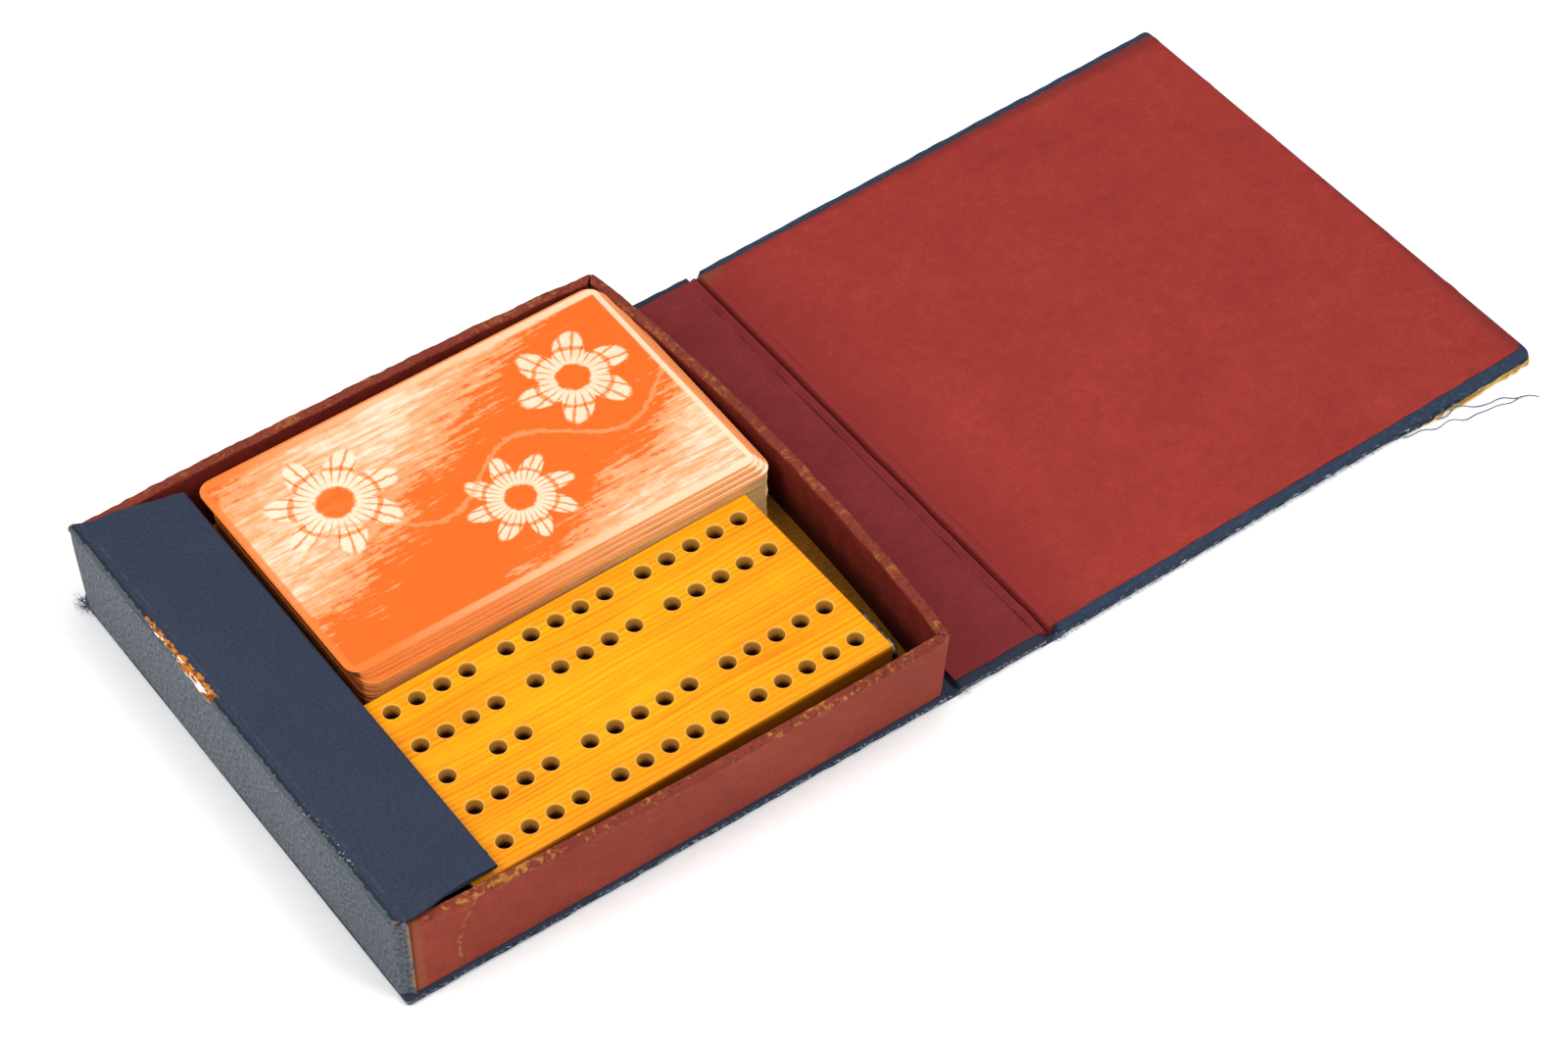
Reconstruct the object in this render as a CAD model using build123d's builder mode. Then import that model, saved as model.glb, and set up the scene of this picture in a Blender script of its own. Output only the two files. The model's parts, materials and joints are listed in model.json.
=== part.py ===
"""Cribbage box: a book-style cloth case of five hinged panels around a shallow tray.

The tray holds a drilled wooden cribbage board and a deck of cards. The case lies open:
base, spine and cover flat on the table, a short flap folded in over the tray's left end.
Millimetres, +Z up, X along the open case with the cover towards +X, near side towards -Y.
The origin is the bottom centre of the open case.
"""
from build123d import *
from math import cos, radians, sin
import os

os.makedirs("parts", exist_ok=True)

# --- driving dimensions: case ---------------------------------------------------------
case_width = 115.6  # near to far edge of base, spine and cover
board_t = 1.8  # strawboard inside every panel
cloth_t = 0.25  # bookcloth and lining sheet
lining_inset = 1.9  # cloth turn-in seen around each lining
cover_reach = 117.4  # groove pivot to the cover's outer edge
groove_play = 0.1  # left at the groove by each board's inner edge when the cover is shut
hinge_gap = 0.1  # from a hinge line to the board beside it
closing_gap = 0.35  # left between case and contents when the case is shut
panel_corner_r = 1.2  # rounded outer corners of the cover

# --- driving dimensions: tray ---------------------------------------------------------
tray_length = 113.6  # outside, along X
tray_width = 114.0  # outside, along Y
tray_rim_z = 19.9  # rim above the table
wall_board_t = 1.9
paper_t = 0.15  # paper covering both sides of the walls
floor_t = 2.0
wall_bow = 1.0  # how far the spine-side wall bows outwards at its middle
base_turn_in = 12.0  # cloth turned in over the base board, under the tray

# --- driving dimensions: flap ---------------------------------------------------------
fold_z = 22.2  # top of the fold above the table
fold_inset = 1.8  # from the case's left face to the fold line
flap_tilt = 7.8  # degrees the flap slopes down towards its free edge
flap_root = 3.1  # fold line to the flap board, along the slope
flap_length = 20.7  # fold line to the free edge, along the slope
flap_side_gap = 0.4  # to the tray walls at the flap's wide end
flap_taper = 1.2  # each end narrows by this much towards the free edge
flap_cloth_width = 112.4  # cloth at the fold

# --- driving dimensions: cribbage board -----------------------------------------------
play_length = 90.8
play_width = 45.5
play_thickness = 12.5
play_x = 60.07  # board centre from the tray's left outside
play_y = -30.1  # board centre from the tray's middle
play_turn = 0.92  # degrees the loose board lies turned in the tray
edge_bevel = 0.3
hole_d = 3.2
hole_depth = 3.8
hole_pitch = 5.4
holes_in_group = 5
hole_groups = 3
group_gap = 3.04  # extra space between two groups
outer_row_y = 18.03
inner_row_y = 8.63
row_shift = 0.4  # the rows sit this far off the board's middle

# --- driving dimensions: peg store in the board's right end ------------------------------
bore_d = 5.0
bore_depth = 32.0
bore_y = -12.8  # from the board's middle
bore_z = 8.5  # above the board's underside
plate_length = 13.9
plate_width = 6.4
plate_t = 0.9
plate_play = 0.06  # between plate and wood, and around the screw
screw_shank_r = 1.0
screw_head_r = 1.9
screw_head_t = 0.7
screw_length = 9.0
screw_slot_w = 0.5

# --- driving dimensions: deck of cards ----------------------------------------------------
card_length = 88.9
card_width = 56.0
card_t = 0.302
card_corner_r = 3.2
card_count = 52
loose_cards = 6  # top cards modelled singly
stack_x = 66.6  # stack centre from the tray's left outside
stack_y = 21.95  # stack centre from the tray's middle
fan_step_x = -0.08  # each loose card lies this much off the one below
fan_step_y = 0.35

# --- derived levels and positions -------------------------------------------------------
panel_t = board_t + 2 * cloth_t
skin_t = wall_board_t + 2 * paper_t
floor_top = panel_t + floor_t
deck_top = floor_top + card_count * card_t
pivot_z = cloth_t  # cloth hinges bend at the boards' outer faces
half_w = case_width / 2

# Distances from the case's left face, moved so that the origin is in the middle.
hinge_x = panel_t + tray_length + wall_bow + closing_gap + panel_t - cloth_t
spine_rise = deck_top + closing_gap + panel_t - 2 * cloth_t
total_length = hinge_x + spine_rise + cover_reach
left = -total_length / 2
tray_left = left + panel_t
tray_right = tray_left + tray_length
base_end = tray_right + wall_bow
spine_pivot = left + hinge_x
groove_pivot = spine_pivot + spine_rise
groove_width = 2 * (panel_t - pivot_z + groove_play)  # two boards that fold to a right angle
spine_start = spine_pivot + hinge_gap
spine_end = groove_pivot - groove_width / 2
cover_start = groove_pivot + groove_width / 2
cover_end = groove_pivot + cover_reach
wall_height = tray_rim_z - paper_t - panel_t


def bowed_plan(inset):
    """Tray plan, inset from the outside, with the bowed wall on its right."""
    x0, x1, y = tray_left + inset, tray_right - inset, tray_width / 2 - inset
    with BuildSketch() as plan:
        with BuildLine():
            Polyline((x1, -y), (x0, -y), (x0, y), (x1, y))
            ThreePointArc((x1, y), (x1 + wall_bow, 0), (x1, -y))
        make_face()
    return plan.sketch


# === base and fore-edge =====================================================================
base_x = (tray_left + base_end) / 2
base_l = base_end - tray_left

with BuildPart() as base_board:
    with BuildSketch(Plane.XY.offset(cloth_t)):
        with Locations((base_x, 0)):
            Rectangle(base_l, case_width - 2 * cloth_t)
    extrude(amount=board_t)
base_board.part.label = "base_board"
export_step(base_board.part, "parts/base_board.step")

# The cloth lies under the board, wraps its near and far edges and turns in on top.
with BuildPart() as base_cloth:
    with BuildSketch(Plane.XY):
        with Locations(((left + base_end) / 2, 0)):
            Rectangle(base_end - left, case_width)
    extrude(amount=cloth_t)
    with BuildSketch(Plane.XY.offset(cloth_t)):
        with Locations((base_x, 0)):
            Rectangle(base_l, case_width)
            Rectangle(base_l, case_width - 2 * cloth_t, mode=Mode.SUBTRACT)
    extrude(amount=board_t)
    with BuildSketch(Plane.XY.offset(cloth_t + board_t)):
        with Locations((base_x, 0)):
            Rectangle(base_l, case_width)
            Rectangle(base_l, case_width - 2 * base_turn_in, mode=Mode.SUBTRACT)
    extrude(amount=cloth_t)
base_cloth.part.label = "base_cloth"
export_step(base_cloth.part, "parts/base_cloth.step")

fore_top = fold_z - cloth_t
fore_half = flap_cloth_width / 2

with BuildPart() as fore_edge_board:
    with BuildSketch(Plane.XY.offset(cloth_t)):
        with Locations((left + cloth_t + board_t / 2, 0)):
            Rectangle(board_t, flap_cloth_width - 2 * cloth_t)
    extrude(amount=fore_top - cloth_t)
fore_edge_board.part.label = "fore_edge_board"
export_step(fore_edge_board.part, "parts/fore_edge_board.step")

# Cloth over the fore-edge's outer face, both ends and top, with a turn-in on the tray side.
with BuildPart() as fore_edge_cloth:
    with BuildSketch(Plane.XY.offset(cloth_t)):
        with Locations((left + panel_t / 2, 0)):
            Rectangle(panel_t, flap_cloth_width)
    extrude(amount=fore_top - cloth_t)
    with BuildSketch(Plane.XY.offset(cloth_t)):
        with Locations((left + cloth_t + board_t / 2, 0)):
            Rectangle(board_t, flap_cloth_width - 2 * cloth_t)
        with Locations((left + cloth_t + board_t + cloth_t / 2, 0)):
            Rectangle(cloth_t, flap_cloth_width - 2 * base_turn_in)
    extrude(amount=fore_top - cloth_t, mode=Mode.SUBTRACT)
    with BuildSketch(Plane.XY.offset(fore_top)):
        with Locations((left + panel_t / 2, 0)):
            Rectangle(panel_t, flap_cloth_width)
    extrude(amount=cloth_t)
    top_edge = fore_edge_cloth.edges().filter_by(Axis.Y).group_by(Axis.Z)[-1].sort_by(Axis.X)[0]
    fillet(top_edge, radius=cloth_t * 0.8)
fore_edge_cloth.part.label = "fore_edge_cloth"
export_step(fore_edge_cloth.part, "parts/fore_edge_cloth.step")

# === tray ===================================================================================
with BuildPart() as tray_floor:
    with BuildSketch(Plane.XY.offset(panel_t)):
        add(bowed_plan(skin_t))
    extrude(amount=floor_t)
tray_floor.part.label = "tray_floor"
export_step(tray_floor.part, "parts/tray_floor.step")

wall_y = tray_width / 2 - paper_t - wall_board_t / 2
side_l = tray_width - 2 * (paper_t + wall_board_t)

with BuildPart() as tray_near_wall:
    with BuildSketch(Plane.XY.offset(panel_t)):
        with Locations(((tray_left + tray_right) / 2, -wall_y)):
            Rectangle(tray_length - 2 * paper_t, wall_board_t)
    extrude(amount=wall_height)
tray_near_wall.part.label = "tray_near_wall"
export_step(tray_near_wall.part, "parts/tray_near_wall.step")

with BuildPart() as tray_far_wall:
    with BuildSketch(Plane.XY.offset(panel_t)):
        with Locations(((tray_left + tray_right) / 2, wall_y)):
            Rectangle(tray_length - 2 * paper_t, wall_board_t)
    extrude(amount=wall_height)
tray_far_wall.part.label = "tray_far_wall"
export_step(tray_far_wall.part, "parts/tray_far_wall.step")

with BuildPart() as tray_left_wall:
    with BuildSketch(Plane.XY.offset(panel_t)):
        with Locations((tray_left + paper_t + wall_board_t / 2, 0)):
            Rectangle(wall_board_t, side_l)
    extrude(amount=wall_height)
tray_left_wall.part.label = "tray_left_wall"
export_step(tray_left_wall.part, "parts/tray_left_wall.step")

# The bowed wall is the ring between two plans, cut to the length between the long walls.
with BuildPart() as tray_right_wall:
    with BuildSketch(Plane.XY.offset(panel_t)):
        add(bowed_plan(paper_t))
        add(bowed_plan(paper_t + wall_board_t), mode=Mode.SUBTRACT)
        with Locations((tray_right, 0)):
            Rectangle(2 * (skin_t + wall_bow), side_l, mode=Mode.INTERSECT)
    extrude(amount=wall_height)
tray_right_wall.part.label = "tray_right_wall"
export_step(tray_right_wall.part, "parts/tray_right_wall.step")

# Paper up the outside, over the rim and down the inside, in one sheet.
with BuildPart() as tray_paper:
    with BuildSketch(Plane.XY.offset(panel_t)):
        add(bowed_plan(0))
        add(bowed_plan(paper_t), mode=Mode.SUBTRACT)
    extrude(amount=wall_height)
    with BuildSketch(Plane.XY.offset(floor_top)):
        add(bowed_plan(paper_t + wall_board_t))
        add(bowed_plan(skin_t), mode=Mode.SUBTRACT)
    extrude(amount=wall_height - floor_t)
    with BuildSketch(Plane.XY.offset(panel_t + wall_height)):
        add(bowed_plan(0))
        add(bowed_plan(skin_t), mode=Mode.SUBTRACT)
    extrude(amount=paper_t)
tray_paper.part.label = "tray_paper"
export_step(tray_paper.part, "parts/tray_paper.step")

# === spine ==================================================================================
spine_l = spine_end - spine_start
spine_x = (spine_start + spine_end) / 2

with BuildPart() as spine_board:
    with BuildSketch(Plane.XY.offset(cloth_t)):
        with Locations((spine_x, 0)):
            Rectangle(spine_l, case_width - 2 * cloth_t)
    extrude(amount=board_t)
spine_board.part.label = "spine_board"
export_step(spine_board.part, "parts/spine_board.step")

with BuildPart() as spine_cloth:
    with BuildSketch(Plane.XY):
        with Locations((spine_x, 0)):
            Rectangle(spine_l, case_width)
    extrude(amount=panel_t)
    with BuildSketch(Plane.XY.offset(cloth_t)):
        with Locations((spine_x, 0)):
            Rectangle(spine_l, case_width - 2 * cloth_t)
    extrude(amount=board_t, mode=Mode.SUBTRACT)
    with BuildSketch(Plane.XY.offset(cloth_t + board_t)):
        with Locations((spine_x, 0)):
            Rectangle(spine_l, case_width - 2 * lining_inset)
    extrude(amount=cloth_t, mode=Mode.SUBTRACT)
spine_cloth.part.label = "spine_cloth"
export_step(spine_cloth.part, "parts/spine_cloth.step")

with BuildPart() as spine_lining:
    with BuildSketch(Plane.XY.offset(cloth_t + board_t)):
        with Locations((spine_x, 0)):
            Rectangle(spine_l, case_width - 2 * lining_inset)
    extrude(amount=cloth_t)
spine_lining.part.label = "spine_lining"
export_step(spine_lining.part, "parts/spine_lining.step")

# === cover ==================================================================================
cover_l = cover_end - cover_start
cover_x = (cover_start + cover_end) / 2

with BuildPart() as cover_board:
    with BuildSketch(Plane.XY.offset(cloth_t)):
        with Locations((cover_x - cloth_t / 2, 0)):
            Rectangle(cover_l - cloth_t, case_width - 2 * cloth_t)
    extrude(amount=board_t)
    fillet(cover_board.edges().filter_by(Axis.Z).group_by(Axis.X)[-1], radius=panel_corner_r - cloth_t)
cover_board.part.label = "cover_board"
export_step(cover_board.part, "parts/cover_board.step")

with BuildPart() as cover_cloth:
    with BuildSketch(Plane.XY):
        with Locations((cover_x, 0)):
            Rectangle(cover_l, case_width)
    extrude(amount=panel_t)
    fillet(cover_cloth.edges().filter_by(Axis.Z).group_by(Axis.X)[-1], radius=panel_corner_r)
    add(cover_board.part, mode=Mode.SUBTRACT)
    with BuildSketch(Plane.XY.offset(cloth_t + board_t)):
        with Locations((cover_x - lining_inset / 2, 0)):
            Rectangle(cover_l - lining_inset, case_width - 2 * lining_inset)
    extrude(amount=cloth_t, mode=Mode.SUBTRACT)
cover_cloth.part.label = "cover_cloth"
export_step(cover_cloth.part, "parts/cover_cloth.step")

with BuildPart() as cover_lining:
    with BuildSketch(Plane.XY.offset(cloth_t + board_t)):
        with Locations((cover_x - lining_inset / 2, 0)):
            Rectangle(cover_l - lining_inset, case_width - 2 * lining_inset)
    extrude(amount=cloth_t)
cover_lining.part.label = "cover_lining"
export_step(cover_lining.part, "parts/cover_lining.step")

# === cloth hinges ===========================================================================
joint_t = 2 * cloth_t  # cloth and lining stuck together


def hinge_strip(x0, x1):
    """Flat cloth strip between two panels, clear of both by the hinge gap."""
    with BuildPart() as strip:
        with BuildSketch(Plane.XY):
            with Locations(((x0 + x1) / 2, 0)):
                Rectangle(x1 - x0 - 2 * hinge_gap, case_width)
        extrude(amount=joint_t)
    return strip.part


with BuildPart() as spine_joint_cloth:
    add(hinge_strip(base_end, spine_start))
spine_joint_cloth.part.label = "spine_joint_cloth"
export_step(spine_joint_cloth.part, "parts/spine_joint_cloth.step")

with BuildPart() as cover_joint_cloth:
    add(hinge_strip(spine_end, cover_start))
cover_joint_cloth.part.label = "cover_joint_cloth"
export_step(cover_joint_cloth.part, "parts/cover_joint_cloth.step")

# === flap ===================================================================================
tilt = radians(flap_tilt)
flap_plane = Plane(
    origin=(left + fold_inset, 0, fold_z),
    x_dir=(cos(tilt), 0, -sin(tilt)),
    z_dir=(sin(tilt), 0, cos(tilt)),
)
flap_half = tray_width / 2 - skin_t - flap_side_gap


def flap_plan(inset, x_root):
    """Tapered flap outline on its sloping plane, inset from the cloth's outside."""
    slope = flap_taper / (flap_length - flap_root)
    y_free = flap_half - flap_taper - inset
    x_free = flap_length - inset
    y_root = y_free + slope * (x_free - x_root)
    with BuildSketch() as plan:
        Polygon((x_root, -y_root), (x_free, -y_free), (x_free, y_free), (x_root, y_root), align=None)
    return plan.sketch


with BuildPart() as flap_board:
    with BuildSketch(flap_plane.offset(-cloth_t - board_t)):
        add(flap_plan(cloth_t, flap_root))
    extrude(amount=board_t)
flap_board.part.label = "flap_board"
export_step(flap_board.part, "parts/flap_board.step")

with BuildPart() as flap_cloth:
    with BuildSketch(flap_plane.offset(-panel_t)):
        add(flap_plan(0, flap_root))
    extrude(amount=panel_t)
    add(flap_board.part, mode=Mode.SUBTRACT)
    with BuildSketch(flap_plane.offset(-panel_t)):
        add(flap_plan(lining_inset, flap_root))
    extrude(amount=cloth_t, mode=Mode.SUBTRACT)
flap_cloth.part.label = "flap_cloth"
export_step(flap_cloth.part, "parts/flap_cloth.step")

with BuildPart() as flap_lining:
    with BuildSketch(flap_plane.offset(-panel_t)):
        add(flap_plan(lining_inset, flap_root))
    extrude(amount=cloth_t)
flap_lining.part.label = "flap_lining"
export_step(flap_lining.part, "parts/flap_lining.step")

# The fold's cloth runs from the fore-edge's top to the flap board, above the tray's rim.
fold_start = (panel_t - fold_inset + hinge_gap) / cos(tilt)
with BuildPart() as flap_joint_cloth:
    with BuildSketch(flap_plane.offset(-joint_t)):
        with Locations(((fold_start + flap_root - hinge_gap) / 2, 0)):
            Rectangle(flap_root - hinge_gap - fold_start, 2 * flap_half)
    extrude(amount=joint_t)
flap_joint_cloth.part.label = "flap_joint_cloth"
export_step(flap_joint_cloth.part, "parts/flap_joint_cloth.step")

# === cribbage board ===========================================================================
play_plane = Plane(origin=(tray_left + play_x, play_y, floor_top)).rotated((0, 0, play_turn))
play_top = play_plane.offset(play_thickness)
# The end plane looks out of the board's right end, with +X along the width, +Y up.
play_end = Plane(
    origin=play_plane.from_local_coords(Vector(play_length / 2, 0, 0)),
    x_dir=play_plane.y_dir,
    z_dir=play_plane.x_dir,
)
group_pitch = holes_in_group * hole_pitch + group_gap
pivot_y = bore_y - (plate_length - plate_width)  # plate ends centred on bore and screw
pair_x = -group_pitch - 1.5 * hole_pitch

with BuildPart() as cribbage_board:
    with BuildSketch(play_plane):
        Rectangle(play_length, play_width)
    extrude(amount=play_thickness)
    chamfer(cribbage_board.edges().group_by(Axis.Z)[-1], length=edge_bevel)
    with BuildSketch(play_top):
        with Locations((0, row_shift)):
            with GridLocations(group_pitch, 1, hole_groups, 1):
                with GridLocations(hole_pitch, 2 * outer_row_y, holes_in_group, 2):
                    Circle(hole_d / 2)
                with GridLocations(hole_pitch, 2 * inner_row_y, holes_in_group, 2):
                    Circle(hole_d / 2)
            with Locations((pair_x, 0), (pair_x + 3 * hole_pitch, 0)):
                with GridLocations(hole_pitch, 1, 2, 1):
                    Circle(hole_d / 2)
    extrude(amount=-hole_depth, mode=Mode.SUBTRACT)
    with BuildSketch(play_end):
        with Locations((bore_y, bore_z)):
            Circle(bore_d / 2)
    extrude(amount=-bore_depth, mode=Mode.SUBTRACT)
    with BuildSketch(play_end):
        with Locations((pivot_y, bore_z)):
            Circle(screw_shank_r)
    extrude(amount=-screw_length, mode=Mode.SUBTRACT)
cribbage_board.part.label = "cribbage_board"
export_step(cribbage_board.part, "parts/cribbage_board.step")

# Swivelling plate that shuts the peg bore: a strip with round ends, pierced for its screw.
with BuildPart() as peg_plate:
    with BuildSketch(play_end.offset(plate_play)):
        with Locations(((pivot_y + bore_y) / 2, bore_z)):
            SlotOverall(plate_length, plate_width)
        with Locations((pivot_y, bore_z)):
            Circle(screw_shank_r + plate_play, mode=Mode.SUBTRACT)
    extrude(amount=plate_t)
    chamfer(peg_plate.faces().sort_by(Axis.X)[-1].outer_wire().edges(), length=plate_t / 4)
peg_plate.part.label = "peg_plate"
export_step(peg_plate.part, "parts/peg_plate.step")

with BuildPart() as peg_plate_screw:
    with BuildSketch(play_end.offset(-screw_length)):
        with Locations((pivot_y, bore_z)):
            Circle(screw_shank_r)
    extrude(amount=screw_length + plate_t + 2 * plate_play)
    head_plane = play_end.offset(plate_t + 2 * plate_play)
    with BuildSketch(head_plane):
        with Locations((pivot_y, bore_z)):
            Circle(screw_head_r)
    extrude(amount=screw_head_t)
    rim = peg_plate_screw.edges().filter_by(GeomType.CIRCLE).group_by(Axis.X)[-1]
    chamfer(rim, length=screw_head_t / 2)
    with BuildSketch(head_plane.offset(screw_head_t)):
        with Locations((pivot_y, bore_z)):
            Rectangle(screw_slot_w, 2 * screw_head_r, rotation=30)
    extrude(amount=-screw_head_t / 2, mode=Mode.SUBTRACT)
peg_plate_screw.part.label = "peg_plate_screw"
export_step(peg_plate_screw.part, "parts/peg_plate_screw.step")

# === deck of cards ============================================================================
stack_t = (card_count - loose_cards) * card_t
stack_cx = tray_left + stack_x


def card(x, y, z, thickness):
    """Round-cornered card, or a block of them, centred at x, y with its underside at z."""
    with BuildPart() as leaf:
        with BuildSketch(Plane.XY.offset(z)):
            with Locations((x, y)):
                RectangleRounded(card_length, card_width, card_corner_r)
        extrude(amount=thickness)
    return leaf.part


with BuildPart() as card_stack:
    add(card(stack_cx, stack_y, floor_top, stack_t))
card_stack.part.label = "card_stack"
export_step(card_stack.part, "parts/card_stack.step")

for number in range(1, loose_cards + 1):
    lift = floor_top + stack_t + (number - 1) * card_t
    with BuildPart() as loose_card:
        add(card(stack_cx + number * fan_step_x, stack_y + number * fan_step_y, lift, card_t))
    name = f"loose_card_{number}"
    loose_card.part.label = name
    export_step(loose_card.part, f"parts/{name}.step")
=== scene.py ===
"""Looks of the open cribbage box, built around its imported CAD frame.

Lengths here are millimetres in the frame's axes: X along the open case towards the cover, Y away
from the viewer, Z up, origin at the bottom centre. Meshes are turned into metres when made.
"""

import json
import logging
import math
from dataclasses import dataclass, field
from enum import Enum
from typing import Callable, Iterable, Sequence

import bmesh
import bpy
import numpy as np
from mathutils import Matrix, Vector
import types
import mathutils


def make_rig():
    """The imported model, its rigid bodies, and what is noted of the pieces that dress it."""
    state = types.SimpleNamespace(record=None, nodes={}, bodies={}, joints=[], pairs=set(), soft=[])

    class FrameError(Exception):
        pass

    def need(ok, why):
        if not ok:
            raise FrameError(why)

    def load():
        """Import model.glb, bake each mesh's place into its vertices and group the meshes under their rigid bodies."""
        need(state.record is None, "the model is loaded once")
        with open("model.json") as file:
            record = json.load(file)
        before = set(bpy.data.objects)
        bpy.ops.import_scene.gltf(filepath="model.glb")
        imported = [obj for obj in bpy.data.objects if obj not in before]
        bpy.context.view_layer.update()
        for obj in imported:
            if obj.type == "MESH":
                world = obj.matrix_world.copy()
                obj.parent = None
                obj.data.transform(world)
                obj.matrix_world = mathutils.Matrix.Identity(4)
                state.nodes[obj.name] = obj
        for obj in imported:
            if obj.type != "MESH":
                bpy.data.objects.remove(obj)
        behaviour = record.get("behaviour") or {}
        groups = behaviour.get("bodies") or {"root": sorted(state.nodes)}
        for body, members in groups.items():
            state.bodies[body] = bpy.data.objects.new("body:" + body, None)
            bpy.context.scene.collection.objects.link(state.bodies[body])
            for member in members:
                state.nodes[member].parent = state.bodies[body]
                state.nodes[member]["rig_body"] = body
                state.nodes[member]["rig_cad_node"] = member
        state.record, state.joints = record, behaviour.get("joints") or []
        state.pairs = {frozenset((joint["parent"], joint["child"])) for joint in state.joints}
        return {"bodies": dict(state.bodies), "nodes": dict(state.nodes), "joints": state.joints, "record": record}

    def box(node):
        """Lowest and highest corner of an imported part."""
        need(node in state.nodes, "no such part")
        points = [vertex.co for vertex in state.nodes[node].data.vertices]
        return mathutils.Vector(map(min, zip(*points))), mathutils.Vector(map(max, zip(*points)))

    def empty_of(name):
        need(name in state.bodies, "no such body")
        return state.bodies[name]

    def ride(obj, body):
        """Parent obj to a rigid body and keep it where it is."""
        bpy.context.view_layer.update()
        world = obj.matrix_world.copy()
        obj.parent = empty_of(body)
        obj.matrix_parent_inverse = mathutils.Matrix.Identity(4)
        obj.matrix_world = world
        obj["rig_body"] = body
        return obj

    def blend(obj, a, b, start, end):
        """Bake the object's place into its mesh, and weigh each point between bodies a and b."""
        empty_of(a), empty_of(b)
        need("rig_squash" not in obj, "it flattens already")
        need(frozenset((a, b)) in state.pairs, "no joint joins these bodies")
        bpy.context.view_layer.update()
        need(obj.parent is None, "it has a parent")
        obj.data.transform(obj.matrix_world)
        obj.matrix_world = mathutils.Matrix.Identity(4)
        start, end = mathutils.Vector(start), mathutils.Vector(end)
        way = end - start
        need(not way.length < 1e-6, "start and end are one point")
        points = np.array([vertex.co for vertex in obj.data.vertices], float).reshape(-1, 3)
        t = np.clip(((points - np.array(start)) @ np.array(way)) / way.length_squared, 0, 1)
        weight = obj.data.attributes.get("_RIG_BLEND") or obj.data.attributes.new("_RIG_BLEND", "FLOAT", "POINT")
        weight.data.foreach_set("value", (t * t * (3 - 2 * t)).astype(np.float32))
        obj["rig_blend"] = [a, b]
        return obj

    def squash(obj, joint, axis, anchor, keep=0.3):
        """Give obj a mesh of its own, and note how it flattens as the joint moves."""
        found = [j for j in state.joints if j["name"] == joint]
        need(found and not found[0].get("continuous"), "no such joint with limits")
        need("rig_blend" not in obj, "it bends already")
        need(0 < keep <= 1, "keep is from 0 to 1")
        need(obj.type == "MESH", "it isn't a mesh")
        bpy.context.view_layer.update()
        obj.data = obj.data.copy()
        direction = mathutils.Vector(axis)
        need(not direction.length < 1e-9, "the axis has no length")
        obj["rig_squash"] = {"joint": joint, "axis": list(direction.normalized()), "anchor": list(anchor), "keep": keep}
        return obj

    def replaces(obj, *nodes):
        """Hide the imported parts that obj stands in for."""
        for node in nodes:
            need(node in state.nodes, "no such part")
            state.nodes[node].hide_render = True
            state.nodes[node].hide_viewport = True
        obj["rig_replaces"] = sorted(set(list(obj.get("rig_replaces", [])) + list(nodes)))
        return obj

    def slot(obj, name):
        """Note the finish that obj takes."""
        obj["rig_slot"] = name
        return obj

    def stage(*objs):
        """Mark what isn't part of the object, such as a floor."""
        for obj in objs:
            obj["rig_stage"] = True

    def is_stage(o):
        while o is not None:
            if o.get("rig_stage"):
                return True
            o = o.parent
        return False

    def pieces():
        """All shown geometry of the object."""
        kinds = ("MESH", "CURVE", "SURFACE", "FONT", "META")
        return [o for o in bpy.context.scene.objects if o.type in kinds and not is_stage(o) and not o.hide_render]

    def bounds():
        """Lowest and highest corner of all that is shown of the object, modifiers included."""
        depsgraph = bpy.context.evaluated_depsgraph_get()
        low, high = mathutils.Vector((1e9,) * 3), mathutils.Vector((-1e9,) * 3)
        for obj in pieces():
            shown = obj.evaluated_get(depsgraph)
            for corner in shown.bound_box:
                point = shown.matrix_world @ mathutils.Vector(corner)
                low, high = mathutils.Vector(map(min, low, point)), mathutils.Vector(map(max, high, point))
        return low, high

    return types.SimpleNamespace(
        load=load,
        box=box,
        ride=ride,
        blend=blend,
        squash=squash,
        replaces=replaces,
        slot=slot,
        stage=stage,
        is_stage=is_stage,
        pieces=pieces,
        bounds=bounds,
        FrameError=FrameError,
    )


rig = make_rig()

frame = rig.load()
CAD_LOW, CAD_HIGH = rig.bounds()

LOG = logging.getLogger("cribbage_box")
Array = np.ndarray
MM = 0.001
SHARP_ANGLE = math.radians(38)


def cad_box(node: str) -> tuple[Array, Array]:
    """Returns the lowest and highest corner of a CAD node in millimetres."""
    low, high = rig.box(node)
    return np.array(low) / MM, np.array(high) / MM


class Body(Enum):
    """CAD bodies that pieces ride on."""

    TRAY = "tray"
    SPINE = "spine"
    COVER = "cover"
    FLAP = "flap"
    BOARD = "board"
    PLATE = "plate"
    DECK = "deck"


# ---------------------------------------------------------------------------------------------
# Shader maths
# ---------------------------------------------------------------------------------------------


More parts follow.
